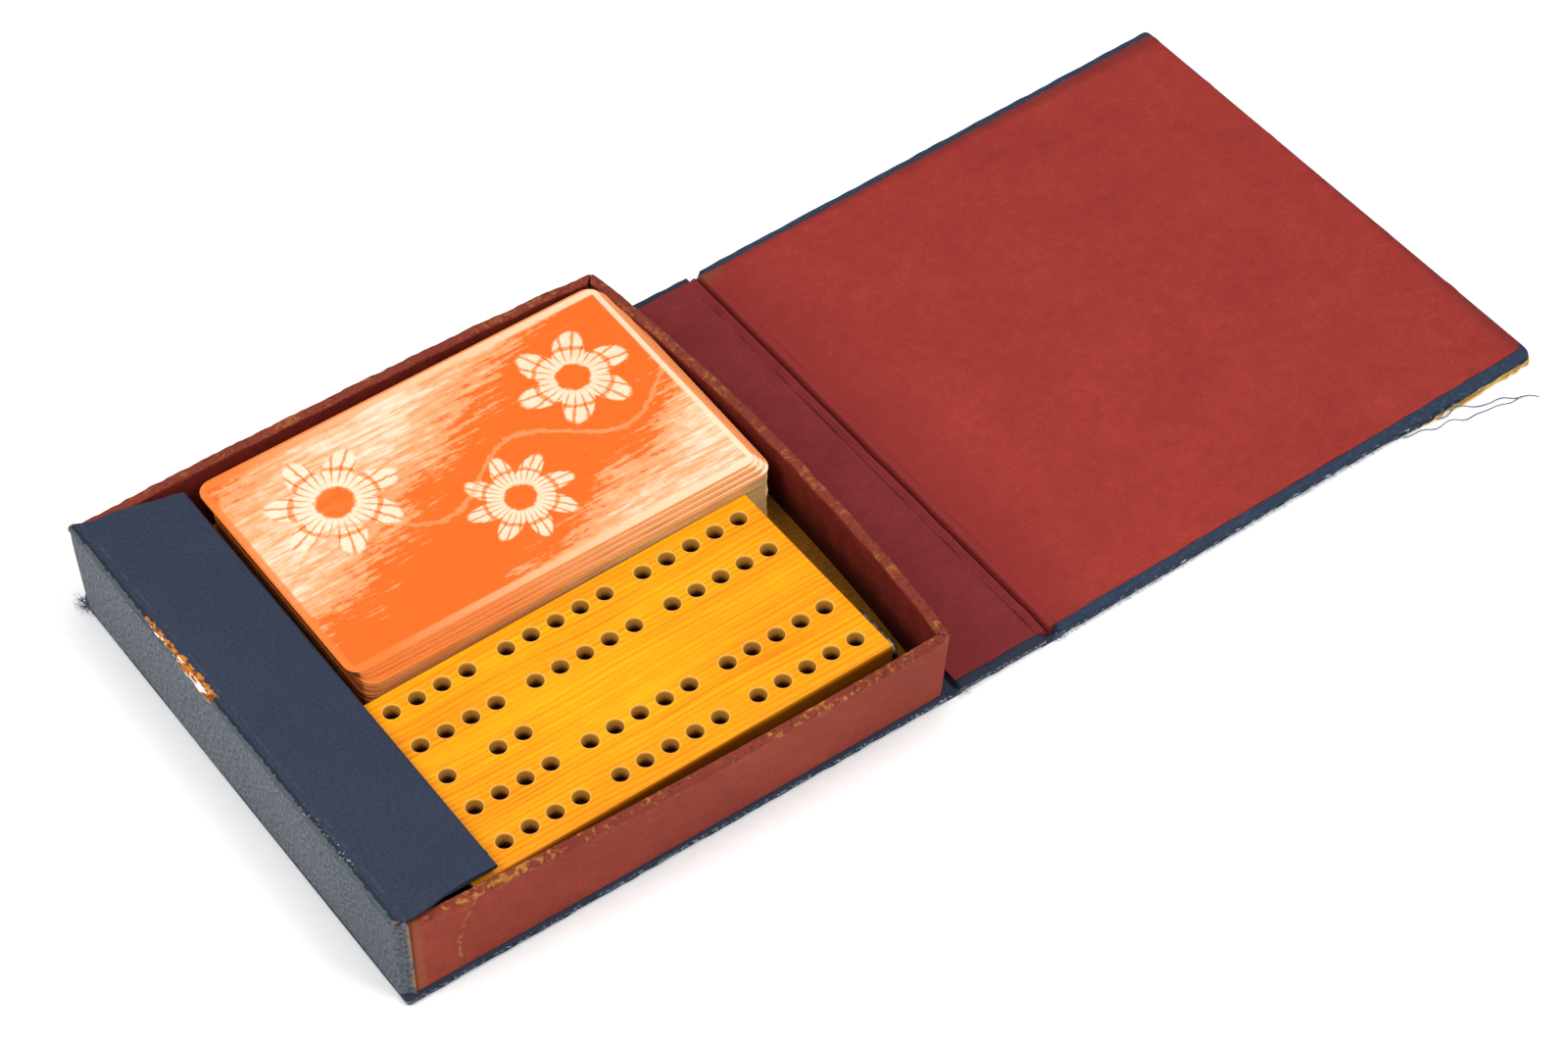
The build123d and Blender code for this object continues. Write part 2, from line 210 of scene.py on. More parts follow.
class Value:
    """A shader output that takes part in arithmetic by adding Math nodes."""

    def __init__(self, shade: "Shade", socket: bpy.types.NodeSocket) -> None:
        """Args: shade, the material builder; socket, the output that is wrapped."""
        self.shade = shade
        self.socket = socket

    def math(self, operation: str, *others: "Value | float", clamp: bool = False) -> "Value":
        """Returns operation(self, *others) as a new value."""
        values = dict(enumerate((self, *others)))
        node = self.shade.node(
            "ShaderNodeMath", {"operation": operation, "use_clamp": clamp}, values
        )
        return Value(self.shade, node.outputs[0])

    def __add__(self, other: "Value | float") -> "Value":
        """Returns the sum."""
        return self.math("ADD", other)

    __radd__ = __add__

    def __mul__(self, other: "Value | float") -> "Value":
        """Returns the product."""
        return self.math("MULTIPLY", other)

    __rmul__ = __mul__

    def __sub__(self, other: "Value | float") -> "Value":
        """Returns the difference."""
        return self.math("SUBTRACT", other)

    def __rsub__(self, other: float) -> "Value":
        """Returns other less this value."""
        return (self * -1.0) + other

    def __truediv__(self, other: "Value | float") -> "Value":
        """Returns the quotient."""
        return self.math("DIVIDE", other)

    def __pow__(self, other: "Value | float") -> "Value":
        """Returns this value raised to other."""
        return self.math("POWER", other)

    def clamp(self) -> "Value":
        """Returns the value held between 0 and 1."""
        return self.math("ADD", 0.0, clamp=True)

    def abs(self) -> "Value":
        """Returns the absolute value."""
        return self.math("ABSOLUTE")

    def sin(self) -> "Value":
        """Returns the sine, in radians."""
        return self.math("SINE")

    def rise(self, low: float, high: float) -> "Value":
        """Returns a smooth step from 0 at low to 1 at high (low may be the larger)."""
        settings = {"interpolation_type": "SMOOTHSTEP", "clamp": True}
        sign = 1.0
        start, end = low, high
        if low > high:
            start, end, sign = high, low, -1.0
        ins = {"Value": self, "From Min": start, "From Max": end}
        node = self.shade.node("ShaderNodeMapRange", settings, ins)
        out = Value(self.shade, node.outputs["Result"])
        return out if sign > 0 else 1.0 - out

    def band(self, centre: float, half: float, soft: float) -> "Value":
        """Returns 1 within half of centre, fading to 0 over soft."""
        return (self - centre).abs().rise(half + soft, half)


Colour = tuple[float, float, float]


class Shade:
    """Builds one procedural material on a Principled surface."""

    def __init__(self, name: str) -> None:
        """Args: name, the material's name."""
        self.material = bpy.data.materials.new(name)
        self.material.use_nodes = True
        self.tree = self.material.node_tree
        self.surface = self.tree.nodes["Principled BSDF"]
        coords = self.node("ShaderNodeTexCoord")
        self.object = self._scaled(coords.outputs["Object"], 1 / MM)
        self.uv = self._scaled(coords.outputs["UV"], 1.0)

    def node(
        self,
        kind: str,
        settings: dict | None = None,
        inputs: dict | None = None,
    ) -> bpy.types.Node:
        """Makes any node.

        Args: kind, its type; settings, set first, with "stops" for a ramp; inputs, values or links.
        Returns: the node.
        """
        made = self.tree.nodes.new(kind)
        for key, value in (settings or {}).items():
            if key == "stops":
                self._stops(made, value)
            else:
                setattr(made, key, value)
        for key, value in (inputs or {}).items():
            self.feed(made.inputs[key], value)
        return made

    @staticmethod
    def _stops(ramp: bpy.types.Node, stops: Sequence[tuple[float, Colour]]) -> None:
        """Sets the stops of a colour ramp."""
        elements = ramp.color_ramp.elements
        while len(elements) < len(stops):
            elements.new(0.5)
        for element, (place, colour) in zip(elements, stops):
            element.position = place
            element.color = (*colour, 1.0)

    def feed(self, socket: bpy.types.NodeSocket, value: "Value | Colour | float") -> None:
        """Links a value to a socket, or sets a constant on it."""
        if isinstance(value, Value):
            self.tree.links.new(value.socket, socket)
        elif isinstance(value, tuple) and len(value) == 3 and socket.type == "RGBA":
            socket.default_value = (*value, 1.0)
        else:
            socket.default_value = value

    def _scaled(self, socket: bpy.types.NodeSocket, factor: float) -> Value:
        """Returns a coordinate output times a factor."""
        ins = {0: Value(self, socket), "Scale": factor}
        node = self.node("ShaderNodeVectorMath", {"operation": "SCALE"}, ins)
        return Value(self, node.outputs[0])

    def axes(self, vector: Value) -> tuple[Value, Value, Value]:
        """Returns a vector's three parts."""
        node = self.node("ShaderNodeSeparateXYZ", None, {0: vector})
        return tuple(Value(self, out) for out in node.outputs)

    def vector(self, x: "Value | float", y: "Value | float", z: "Value | float" = 0.0) -> Value:
        """Returns a vector from three parts."""
        node = self.node("ShaderNodeCombineXYZ", None, {0: x, 1: y, 2: z})
        return Value(self, node.outputs[0])

    def stretch(self, vector: Value, scale: Colour, turn: float = 0.0) -> Value:
        """Returns vector turned about Z and scaled on each axis."""
        ins = {0: vector, "Rotation": (0.0, 0.0, turn), "Scale": scale}
        return Value(self, self.node("ShaderNodeMapping", None, ins).outputs[0])

    def noise(
        self,
        vector: Value,
        scale: float,
        detail: float = 3.0,
        rough: float = 0.55,
        warp: float = 0.0,
    ) -> Value:
        """Returns fractal noise around 0.5; scale is in features per unit of vector."""
        ins = {
            "Vector": vector,
            "Scale": scale,
            "Detail": detail,
            "Roughness": rough,
            "Distortion": warp,
        }
        return Value(self, self.node("ShaderNodeTexNoise", None, ins).outputs[0])

    def cells(self, vector: Value, scale: float) -> Value:
        """Returns the distance to the nearest random point."""
        node = self.node("ShaderNodeTexVoronoi", None, {"Vector": vector, "Scale": scale})
        return Value(self, node.outputs["Distance"])

    def ramp(self, value: Value, stops: Sequence[tuple[float, Colour]]) -> Value:
        """Returns the colour at value along the stops."""
        return Value(self, self.node("ShaderNodeValToRGB", {"stops": stops}, {0: value}).outputs[0])

    def mix(self, share: "Value | float", a: "Value | Colour", b: "Value | Colour") -> Value:
        """Returns colour a where share is 0 and b where it is 1."""
        node = self.node("ShaderNodeMix", {"data_type": "RGBA"}, {0: share, 6: a, 7: b})
        return Value(self, node.outputs[2])

    def tint(self, colour: "Value | Colour", factor: Value) -> Value:
        """Returns colour with its brightness multiplied by factor."""
        grey = self.node("ShaderNodeCombineColor", None, {0: factor, 1: factor, 2: factor})
        node = self.node(
            "ShaderNodeMix",
            {"data_type": "RGBA", "blend_type": "MULTIPLY"},
            {0: 1.0, 6: colour, 7: Value(self, grey.outputs[0])},
        )
        return Value(self, node.outputs[2])

    def finish(
        self,
        colour: "Value | Colour",
        roughness: "Value | float",
        height: "Value | None" = None,
        depth: float = 0.1,
        metallic: float = 0.0,
        specular: float = 0.5,
    ) -> bpy.types.Material:
        """Feeds the surface; height is in units of depth millimetres. Returns the material."""
        self.feed(self.surface.inputs["Base Color"], colour)
        self.feed(self.surface.inputs["Roughness"], roughness)
        self.surface.inputs["Metallic"].default_value = metallic
        self.surface.inputs["Specular IOR Level"].default_value = specular
        if height is not None:
            ins = {"Height": height, "Distance": depth * MM, "Strength": 1.0}
            bump = self.node("ShaderNodeBump", None, ins)
            self.feed(self.surface.inputs["Normal"], Value(self, bump.outputs[0]))
        return self.material


# ---------------------------------------------------------------------------------------------
# Finishes
# ---------------------------------------------------------------------------------------------


@dataclass(frozen=True)
class ClothFinish:
    """Bookcloth: a close weave, filled and worn."""

    base: Colour = (0.024, 0.033, 0.060)
    dust: Colour = (0.15, 0.17, 0.20)
    thread: float = 4.6
    grain: float = 1.6
    grain_scale: float = 1.7
    roughness: float = 0.68
    dusting: float = 0.25


@dataclass(frozen=True)
class PaperFinish:
    """Covering paper: mottled, rubbed and a little fibrous."""

    base: Colour = (0.300, 0.030, 0.023)
    dark: Colour = (0.235, 0.021, 0.018)
    light: Colour = (0.360, 0.045, 0.032)
    roughness: float = 0.75
    grain: float = 2.6


@dataclass(frozen=True)
class WoodFinish:
    """Varnished light wood with fine grain along X."""

    light: Colour = (0.98, 0.43, 0.001)
    middle: Colour = (0.94, 0.33, 0.001)
    dark: Colour = (0.72, 0.21, 0.001)
    roughness: float = 0.42


@dataclass(frozen=True)
class CardFinish:
    """Printed card back and plain card edge."""

    cream: Colour = (0.97, 0.72, 0.53)
    wash: Colour = (0.97, 0.36, 0.15)
    orange: Colour = (0.98, 0.135, 0.010)
    edge_light: Colour = (0.95, 0.76, 0.40)
    edge_mid: Colour = (0.78, 0.52, 0.19)
    edge_dark: Colour = (0.24, 0.11, 0.03)


class Looks:
    """All the materials of the object, made once."""

    FLOOR_GLOW = 0.12

    def __init__(self) -> None:
        """Builds every material."""
        self.cloth = self._cloth("navy_bookcloth", ClothFinish(), self._no_wear)
        # The side face takes a lighter, greyer copy of the navy cloth: dust, and painted reflection of the pale table
        # at a grazing angle.
        self.cloth_left = self._cloth(
            "navy_bookcloth_spine_side",
            ClothFinish(base=(0.104, 0.121, 0.141), grain=5.2, grain_scale=1.3, dusting=0.6),
            self._left_wear,
        )
        self.cloth_flap = self._cloth("navy_bookcloth_flap", ClothFinish(), self._flap_wear)
        self.cloth_cover = self._cloth(
            "navy_bookcloth_cover",
            ClothFinish(base=(0.020, 0.034, 0.066), dusting=0.6),
            self._cover_wear,
        )
        self.tray_paper = self._tray_paper()
        self.inner_paper = self._inner_paper()
        self.cover_lining = self._paper("cover_lining_paper", PaperFinish(), self._cover_marks)
        self.spine_lining = self._paper(
            "spine_lining_paper",
            PaperFinish(
                (0.185, 0.019, 0.021), (0.135, 0.013, 0.016), (0.240, 0.031, 0.031), 0.70, 3.2
            ),
            self._spine_marks,
        )
        self.strawboard = self._strawboard()
        self.wood = self._wood()
        self.drilled = self._drilled()
        self.card_back = self._card_back()
        self.card_edge = self._card_edge()
        self.steel = self._steel()
        self.thread = self._plain("loose_thread", (0.09, 0.13, 0.20), 0.8)
        self.fibre = self._plain("torn_fibre", (0.42, 0.20, 0.06), 0.85)
        self.floor = self._plain("pale_floor", (0.93, 0.93, 0.925), 0.9)
        self._glow(self.floor, self.FLOOR_GLOW)

    @staticmethod
    def _glow(material: bpy.types.Material, strength: float) -> None:
        """Adds a little light to a material, as on an overexposed table."""
        for node in material.node_tree.nodes:
            if node.bl_idname == "ShaderNodeBsdfPrincipled":
                node.inputs["Emission Color"].default_value = (1.0, 1.0, 1.0, 1.0)
                node.inputs["Emission Strength"].default_value = strength

    # Wear masks take the shade and return (mask, colour) pairs laid over the cloth in turn; some pairs are painted
    # highlights and painted shade, not wear.

    @staticmethod
    def _no_wear(shade: Shade) -> list[tuple[Value, Colour]]:
        """Returns the plain cloth's painted glints and painted shade as (mask, colour) pairs."""
        _, y, z = shade.axes(shade.object)
        glint = shade.noise(
            shade.stretch(shade.object, (1.1, 1.0, 2.4)), 1.2, 4.0, 0.75
        ).rise(0.52, 0.60)
        side = y.abs().rise(56.9, 57.4) * z.band(0.9, 0.30, 0.35)
        # Painted highlights: glossy specks along the side faces at mid height. Painted shade: the cloth is darkened
        # above z 1.4 mm, on the ledge beside the tray walls.
        return [
            (side * glint * 0.85, (0.42, 0.46, 0.52)),
            (z.rise(1.4, 2.0) * 0.5, (0.012, 0.016, 0.026)),
        ]

    @staticmethod
    def _left_wear(shade: Shade) -> list[tuple[Value, Colour]]:
        """Returns the fore-edge's marks as (mask, colour) pairs: tan wear, and darkening towards the near end and along
        the foot.
        """
        x, y, z = shade.axes(shade.object)
        rough = shade.noise(shade.object, 0.9, 5.0, 0.65)
        near = (y + rough * 2.0).rise(-54.6, -56.0)
        low = (z - rough * 1.6).rise(0.6, -0.4)
        return [
            (y.rise(-20.0, -52.0) * 0.30, (0.030, 0.045, 0.062)),
            (low * 0.8, (0.030, 0.040, 0.065)),
            (near * x.rise(-128.9, -129.3) * rough.rise(0.42, 0.60), (0.34, 0.22, 0.13)),
            (near * x.rise(-127.9, -127.4) * rough.rise(0.40, 0.55) * 0.7, (0.36, 0.20, 0.07)),
            ((near * (z - rough * 2.0).rise(1.4, 0.2)), (0.35, 0.12, 0.06)),
        ]

    @staticmethod
    def _flap_wear(shade: Shade) -> list[tuple[Value, Colour]]:
        """Returns the fold's and flap's wear, and their painted light, as (mask, colour) pairs."""
        x, y, _ = shade.axes(shade.object)
        rough = shade.noise(shade.object, 0.9, 5.0, 0.65)
        edge = x + rough * 1.4 - 0.7
        # The fold's outer face takes the side face's lighter tone: dust, and painted reflection of the pale table. The
        # crease is a painted shade line along the fold.
        face = edge.rise(-128.80, -129.05)
        crease_shade = edge.band(-128.60, 0.20, 0.22)
        ridge = (
            (x + rough * 1.0 - 0.5).band(-127.0, 0.12, 0.25)
            * shade.noise(shade.object, 0.5, 2.0).rise(0.40, 0.6)
        )
        # The torn spot widens towards the near end; white paper shows along its lower edge.
        blob = shade.noise(shade.vector(y * 0.35, 0.0, 0.0), 1.0, 3.0).rise(0.40, 0.65)
        reach = y.rise(26.0, 10.0) * 0.70 + blob * 0.50 + 0.05
        span = (y + rough * 6.0 - 3.0).band(17.3, 11.4, 0.7)
        torn = ((edge + 128.75).abs() - reach).rise(0.10, -0.05) * span
        chips = shade.noise(shade.object, 0.8, 3.0).rise(0.30, 0.38)
        stain = shade.noise(shade.object, 0.9, 4.0).rise(0.48, 0.62)
        slivers = (
            shade.noise(shade.stretch(shade.object, (1.6, 0.26, 1.6)), 1.1, 2.0).rise(0.50, 0.56)
            * edge.rise(-128.6, -128.85)
        )
        flecks = (
            shade.noise(shade.object, 2.0, 3.0).rise(0.58, 0.66)
            * edge.band(-128.5, 0.5, 0.4)
            * y.band(-33.0, 6.0, 4.0)
        )
        tips = (y.abs() + rough * 2.4).rise(57.6, 58.8) * x.rise(-126.9, -128.2) * 0.55
        return [
            (face * 0.9, (0.088, 0.103, 0.120)),
            (crease_shade * 0.75, (0.010, 0.014, 0.020)),
            (flecks * 0.8, (0.40, 0.38, 0.34)),
            (ridge * 0.18, (0.10, 0.12, 0.14)),
            (torn * chips, (0.56, 0.19, 0.018)),
            (torn * chips * stain, (0.16, 0.045, 0.008)),
            (torn * slivers, (0.95, 0.86, 0.80)),
            (tips, (0.40, 0.26, 0.14)),
        ]

    @staticmethod
    def _cover_wear(shade: Shade) -> list[tuple[Value, Colour]]:
        """Returns the cover's wear and its painted glints as (mask, colour) pairs."""
        x, y, z = shade.axes(shade.object)
        rough = shade.noise(shade.object, 0.55, 5.0, 0.6)
        near = y.rise(-52.0, -55.0)
        bare = (
            near
            * (x + rough * 6.0 - 3.0).rise(92.0, 104.0)
            * (z + rough * 0.8 - 0.4 - x.rise(92.0, 124.0) * 0.9).rise(0.45, 0.30)
            * z.rise(0.03, 0.12)
            * y.rise(-54.6, -55.0)
        )
        glints = shade.noise(
            shade.stretch(shade.object, (0.5, 1.6, 1.6)), 1.3, 4.0
        ).rise(0.58, 0.66)
        # The glints are painted highlights: glossy specks near the near and far edges, brightest along the near edge's
        # foot. The bare yellow board is wear.
        return [
            (y.abs().rise(53.5, 54.5) * glints * 0.20, (0.12, 0.17, 0.25)),
            (near * z.band(0.9, 0.5, 0.3) * glints, (0.50, 0.56, 0.62)),
            (bare, (0.72, 0.42, 0.07)),
        ]

    def _cloth(
        self, name: str, look: ClothFinish, wear_and_light: Callable[[Shade], list[tuple[Value, Colour]]]
    ) -> bpy.types.Material:
        """Returns a bookcloth material."""
        shade = Shade(name)
        u, v, _ = shade.axes(shade.uv)
        wobble = shade.noise(shade.uv, 0.35, 2.0) * 1.2
        warp = ((u + wobble) * (look.thread * math.pi)).sin()
        weft = ((v + wobble) * (look.thread * math.pi)).sin()
        weave = warp * weft
        slub_a = shade.noise(shade.stretch(shade.uv, (0.35, 2.6, 1.0)), 1.0, 3.0)
        slub_b = shade.noise(shade.stretch(shade.uv, (2.6, 0.35, 1.0)), 1.0, 3.0)
        speck = shade.cells(shade.uv, 1.9)
        cloud = shade.noise(shade.uv, 0.045, 4.0)
        grit = shade.noise(shade.uv, look.grain_scale, 3.0, 0.75)
        tone = (
            1.0
            + (slub_a - 0.5) * 0.4
            + (slub_b - 0.5) * 0.4
            + (grit - 0.5) * look.grain
            + weave * 0.05
        )
        tone = tone + (cloud - 0.5) * 0.5
        colour = shade.tint(look.base, tone)
        specks = speck.rise(0.16, 0.05) * shade.noise(shade.uv, 0.5, 3.0).rise(0.55, 0.68)
        colour = shade.mix(specks * look.dusting, colour, look.dust)
        lint = shade.noise(shade.uv, 5.0, 2.0).rise(0.62, 0.75)
        colour = shade.mix(lint * (0.28 * look.dusting), colour, look.dust)
        # Lays on the wear, the painted highlights and the painted shade, pair by pair.
        for mask, paint in wear_and_light(shade):
            colour = shade.mix(mask, colour, paint)
        rough = look.roughness + (slub_a - 0.5) * 0.3 + (cloud - 0.5) * 0.25
        height = weave * 0.12 + slub_a * 0.5 + slub_b * 0.5 + grit * 0.8 + specks * 0.6
        return shade.finish(colour, rough, height, 0.07, specular=0.22)

    def _paper(
        self, name: str, look: PaperFinish, marks: Callable[[Shade, Value], Value]
    ) -> bpy.types.Material:
        """Returns a lining paper material."""
        shade = Shade(name)
        cloud = shade.noise(shade.object, 0.05, 5.0, 0.6)
        fine = shade.noise(shade.object, look.grain, 4.0, 0.6)
        mottle = shade.noise(shade.object, 0.32, 5.0, 0.65)
        fibre = shade.noise(shade.stretch(shade.object, (0.5, 3.0, 1.0), 0.4), 1.0, 4.0)
        tone = cloud * 0.22 + fine * 0.38 + mottle * 0.25 + fibre * 0.15
        stops = [(0.36, look.dark), (0.50, look.base), (0.64, look.light)]
        colour = marks(shade, shade.ramp(tone, stops))
        rough = look.roughness + (mottle - 0.5) * 0.35
        height = fine * 0.8 + mottle * 0.6 + fibre * 0.5
        return shade.finish(colour, rough, height, 0.055, specular=0.14)

    @staticmethod
    def _cover_marks(shade: Shade, colour: Value) -> Value:
        """Returns the marks on the cover's lining, with painted shade along the groove's creases."""
        x, y, _ = shade.axes(shade.object)
        rough = shade.noise(shade.object, 0.35, 5.0, 0.7)
        edge_x = (x + rough * 3.0).rise(126.6, 129.6)
        edge_y = (y.abs() + rough * 3.0).rise(56.0, 58.4)
        colour = shade.mix((edge_x + edge_y).clamp() * 0.5, colour, (0.10, 0.018, 0.018))
        stain = (x + rough * 6.0 - 3.0).rise(17.5, 12.0) * (y + rough * 6.0 - 3.0).rise(51.0, 55.0)
        colour = shade.mix(stain * 0.9, colour, (0.23, 0.085, 0.030))
        line = x + y * 0.0104
        # Painted shade: dark lines stand for the shade in the groove's crease and in a fainter crease beside it.
        crease_shade = line.band(10.5, 0.18, 0.26)
        colour = shade.mix(crease_shade * 0.85, colour, (0.035, 0.006, 0.007))
        faint_crease_shade = (
            (line + rough * 0.8).band(13.1, 0.10, 0.25)
            * shade.noise(shade.object, 0.09, 2.0).rise(0.42, 0.6)
        )
        colour = shade.mix(faint_crease_shade * 0.5, colour, (0.13, 0.016, 0.014))
        near_fold = line.rise(30.0, 12.0) * 0.6
        colour = shade.mix(near_fold, colour, (0.20, 0.020, 0.019))
        scuff = shade.noise(
            shade.stretch(shade.object, (0.30, 1.2, 1.0), 0.35), 0.5, 6.0, 0.7
        ).rise(0.66, 0.74)
        return shade.mix(scuff * 0.35, colour, (0.42, 0.12, 0.09))

    @staticmethod
    def _spine_marks(shade: Shade, colour: Value) -> Value:
        """Returns the marks on the spine's lining, with painted shade along the groove's creases."""
        x, y, _ = shade.axes(shade.object)
        rough = shade.noise(shade.object, 0.5, 5.0, 0.7)
        line = x + y * 0.0104
        # Painted shade: dark lines stand for the shade in the groove's crease and in a fainter crease beside it.
        colour = shade.mix(line.band(10.5, 0.18, 0.26) * 0.85, colour, (0.035, 0.006, 0.007))
        faint_crease_shade = (
            (line + rough * 0.8).band(8.4, 0.12, 0.25)
            * shade.noise(shade.object, 0.09, 2.0).rise(0.40, 0.55)
        )
        colour = shade.mix(faint_crease_shade * 0.6, colour, (0.07, 0.010, 0.010))
        fleck = shade.cells(shade.object, 0.9).rise(0.10, 0.03)
        return shade.mix(fleck * 0.35, colour, (0.35, 0.17, 0.15))

    def _tray_paper(self) -> bpy.types.Material:
        """Returns the paper of the tray's walls."""
        look = PaperFinish((0.270, 0.036, 0.019), (0.205, 0.024, 0.014), (0.345, 0.055, 0.029))
        shade = Shade("tray_paper")
        x, y, z = shade.axes(shade.object)
        cloud = shade.noise(shade.object, 0.06, 5.0, 0.6)
        fine = shade.noise(shade.object, 2.6, 4.0, 0.6)
        mottle = shade.noise(shade.object, 0.4, 5.0, 0.65)
        streak = shade.noise(shade.stretch(shade.object, (0.35, 0.35, 2.2)), 1.0, 4.0)
        tone = cloud * 0.3 + fine * 0.3 + mottle * 0.2 + streak * 0.2
        colour = shade.ramp(tone, [(0.38, look.dark), (0.50, look.base), (0.62, look.light)])
        rub = shade.noise(shade.object, 0.7, 5.0, 0.65)
        patch = shade.noise(shade.object, 0.12, 3.0)
        rim = (z + rub * 1.1 - 0.55).rise(19.0, 19.7)
        colour = shade.mix(rim * 0.5, colour, (0.13, 0.026, 0.014))
        worn = 0.40 + y.rise(-52.0, -55.0) * 0.60
        bright = rim * (rub * 0.65 + patch * 0.45).rise(0.57, 0.66) * worn
        colour = shade.mix(bright, colour, (0.44, 0.17, 0.030))
        dark = rim * shade.noise(shade.object, 1.1, 4.0).rise(0.55, 0.64)
        colour = shade.mix(dark * 0.6, colour, (0.060, 0.018, 0.012))
        blush = (
            z.rise(16.8, 18.6)
            * (1.0 - rim)
            * shade.noise(shade.stretch(shade.object, (0.5, 0.5, 2.5)), 1.0, 4.0).rise(0.56, 0.66)
        )
        colour = shade.mix(blush * 0.5, colour, (0.38, 0.11, 0.085))
        marks = shade.noise(
            shade.stretch(shade.object, (0.8, 0.8, 1.3)), 0.55, 5.0, 0.7
        ).rise(0.63, 0.70)
        marks = marks * y.rise(-54.0, -55.5) * (z + patch * 8.0 - 4.0).rise(12.0, 17.0)
        colour = shade.mix(marks * 0.7, colour, (0.40, 0.13, 0.030))
        # A curved crack runs down the near wall's left end: its x falls as z falls.
        drop = 19.5 - z
        path = x + 113.2 + drop * 0.72 - drop * drop * 0.028 + (rub - 0.5) * 2.2
        crack = path.band(0.0, 0.16, 0.30) * y.rise(-54.0, -55.5) * (z + rub * 3.0).rise(4.0, 7.0)
        crack = crack * shade.noise(shade.object, 0.8, 3.0).rise(0.42, 0.56)
        colour = shade.mix(crack * 0.8, colour, (0.44, 0.17, 0.04))
        pits = (
            path.band(0.25, 0.12, 0.2)
            * shade.noise(shade.object, 1.6, 3.0).rise(0.56, 0.62)
            * y.rise(-54.0, -55.5)
        )
        colour = shade.mix(pits, colour, (0.045, 0.012, 0.010))
        corner = (x - y + rub * 3.0 - 1.5).rise(44.2, 46.4) * z.rise(6.0, 17.0)
        colour = shade.mix(corner * 0.8, colour, (0.42, 0.20, 0.07))
        left = (x - rub * 2.4).rise(-125.2, -126.9) * y.rise(-54.0, -56.0)
        colour = shade.mix(left * 0.5, colour, (0.34, 0.10, 0.035))
        rough = look.roughness + (mottle - 0.5) * 0.3
        height = fine * 0.8 + mottle * 0.8 + streak * 0.6 + bright * 0.8 - crack * 1.4
        return shade.finish(colour, rough, height, 0.06, specular=0.2)

    @staticmethod
    def _inner_paper() -> bpy.types.Material:
        """Paper inside the tray: a deeper red copy of the wall paper as painted shade, darkened further towards the
        foot as painted shade.
        """
        shade = Shade("tray_paper_inside")
        _, _, z = shade.axes(shade.object)
        fine = shade.noise(shade.object, 2.6, 4.0, 0.6)
        mottle = shade.noise(shade.object, 0.3, 5.0, 0.65)
        colour = shade.ramp(
            fine * 0.5 + mottle * 0.5, [(0.38, (0.14, 0.014, 0.010)), (0.62, (0.25, 0.027, 0.017))]
        )
        # Painted shade: the wall darkens towards its foot, where the board and cards keep light out.
        foot_shade = (z + mottle * 3.0 - 1.5).rise(15.0, 6.0)
        colour = shade.mix(foot_shade * 0.85, colour, (0.030, 0.004, 0.003))
        rub = (z + mottle * 1.6 - 0.8).rise(18.9, 19.5) * fine.rise(0.5, 0.6)
        colour = shade.mix(rub * 0.5, colour, (0.22, 0.08, 0.03))
        return shade.finish(colour, 0.7, fine + mottle, 0.06, specular=0.15)

    @staticmethod
    def _strawboard() -> bpy.types.Material:
        """Returns bare strawboard, in browns darker than the board's own yellow as painted shade for the deep tray
        floor.
        """
        shade = Shade("bare_strawboard")
        fleck = shade.noise(shade.stretch(shade.object, (0.6, 2.4, 2.4), 0.2), 1.0, 5.0, 0.65)
        cloud = shade.noise(shade.object, 0.12, 4.0)
        speck = shade.cells(shade.object, 1.1).rise(0.14, 0.04)
        tone = fleck * 0.6 + cloud * 0.4
        # The browns are kept dark as painted shade for the floor deep in the tray.
        colour = shade.ramp(
            tone,
            [
                (0.36, (0.19, 0.066, 0.003)),
                (0.5, (0.28, 0.105, 0.005)),
                (0.64, (0.36, 0.15, 0.010)),
            ],
        )
        colour = shade.mix(speck * 0.5, colour, (0.10, 0.045, 0.015))
        return shade.finish(colour, 0.85, fleck + cloud, 0.06, specular=0.25)

    @staticmethod
    def _wood() -> bpy.types.Material:
        """Returns the varnished wood, with painted shade on its sides and a painted highlight along its top edge."""
        look = WoodFinish()
        shade = Shade("varnished_wood")
        x, y, z = shade.axes(shade.object)
        bend = shade.noise(shade.stretch(shade.object, (0.016, 0.05, 0.05)), 1.0, 2.0) * 5.0
        across = y + bend
        grain = shade.noise(shade.vector(x * 0.020, across * 1.25, z * 0.5), 1.0, 3.0, 0.6)
        rings = (across * 5.2 + grain * 6.0).sin() * 0.5 + 0.5
        pores = shade.noise(shade.vector(x * 0.30, y * 5.0, z * 5.0), 1.0, 3.0, 0.7)
        broad = shade.noise(shade.stretch(shade.object, (0.4, 1.0, 1.0)), 0.05, 2.0)
        tone = grain * 0.34 + rings * 0.10 + pores * 0.18 + broad * 0.34
        colour = shade.ramp(tone, [(0.38, look.dark), (0.50, look.middle), (0.62, look.light)])
        edge = z.rise(16.45, 16.8)
        # Painted shade: below the top, the board's sides are darkened.
        side = z.rise(16.6, 15.2)
        colour = shade.mix(side * 0.85, colour, (0.13, 0.034, 0.003))
        smudge = shade.noise(shade.object, 0.09, 4.0).rise(0.50, 0.68) + y.rise(-44.0, -50.0) * 0.5
        colour = shade.mix(smudge.clamp() * edge * 0.35, colour, (0.88, 0.27, 0.002))
        # Painted highlight: a pale line along the rounded top edge.
        arris_highlight = z.band(16.62, 0.06, 0.06)
        colour = shade.mix(arris_highlight * 0.15, colour, (1.0, 0.62, 0.18))
        rough = look.roughness + (grain - 0.5) * 0.22
        return shade.finish(colour, rough, grain * 0.6 + pores * 0.5, 0.03, specular=0.13)

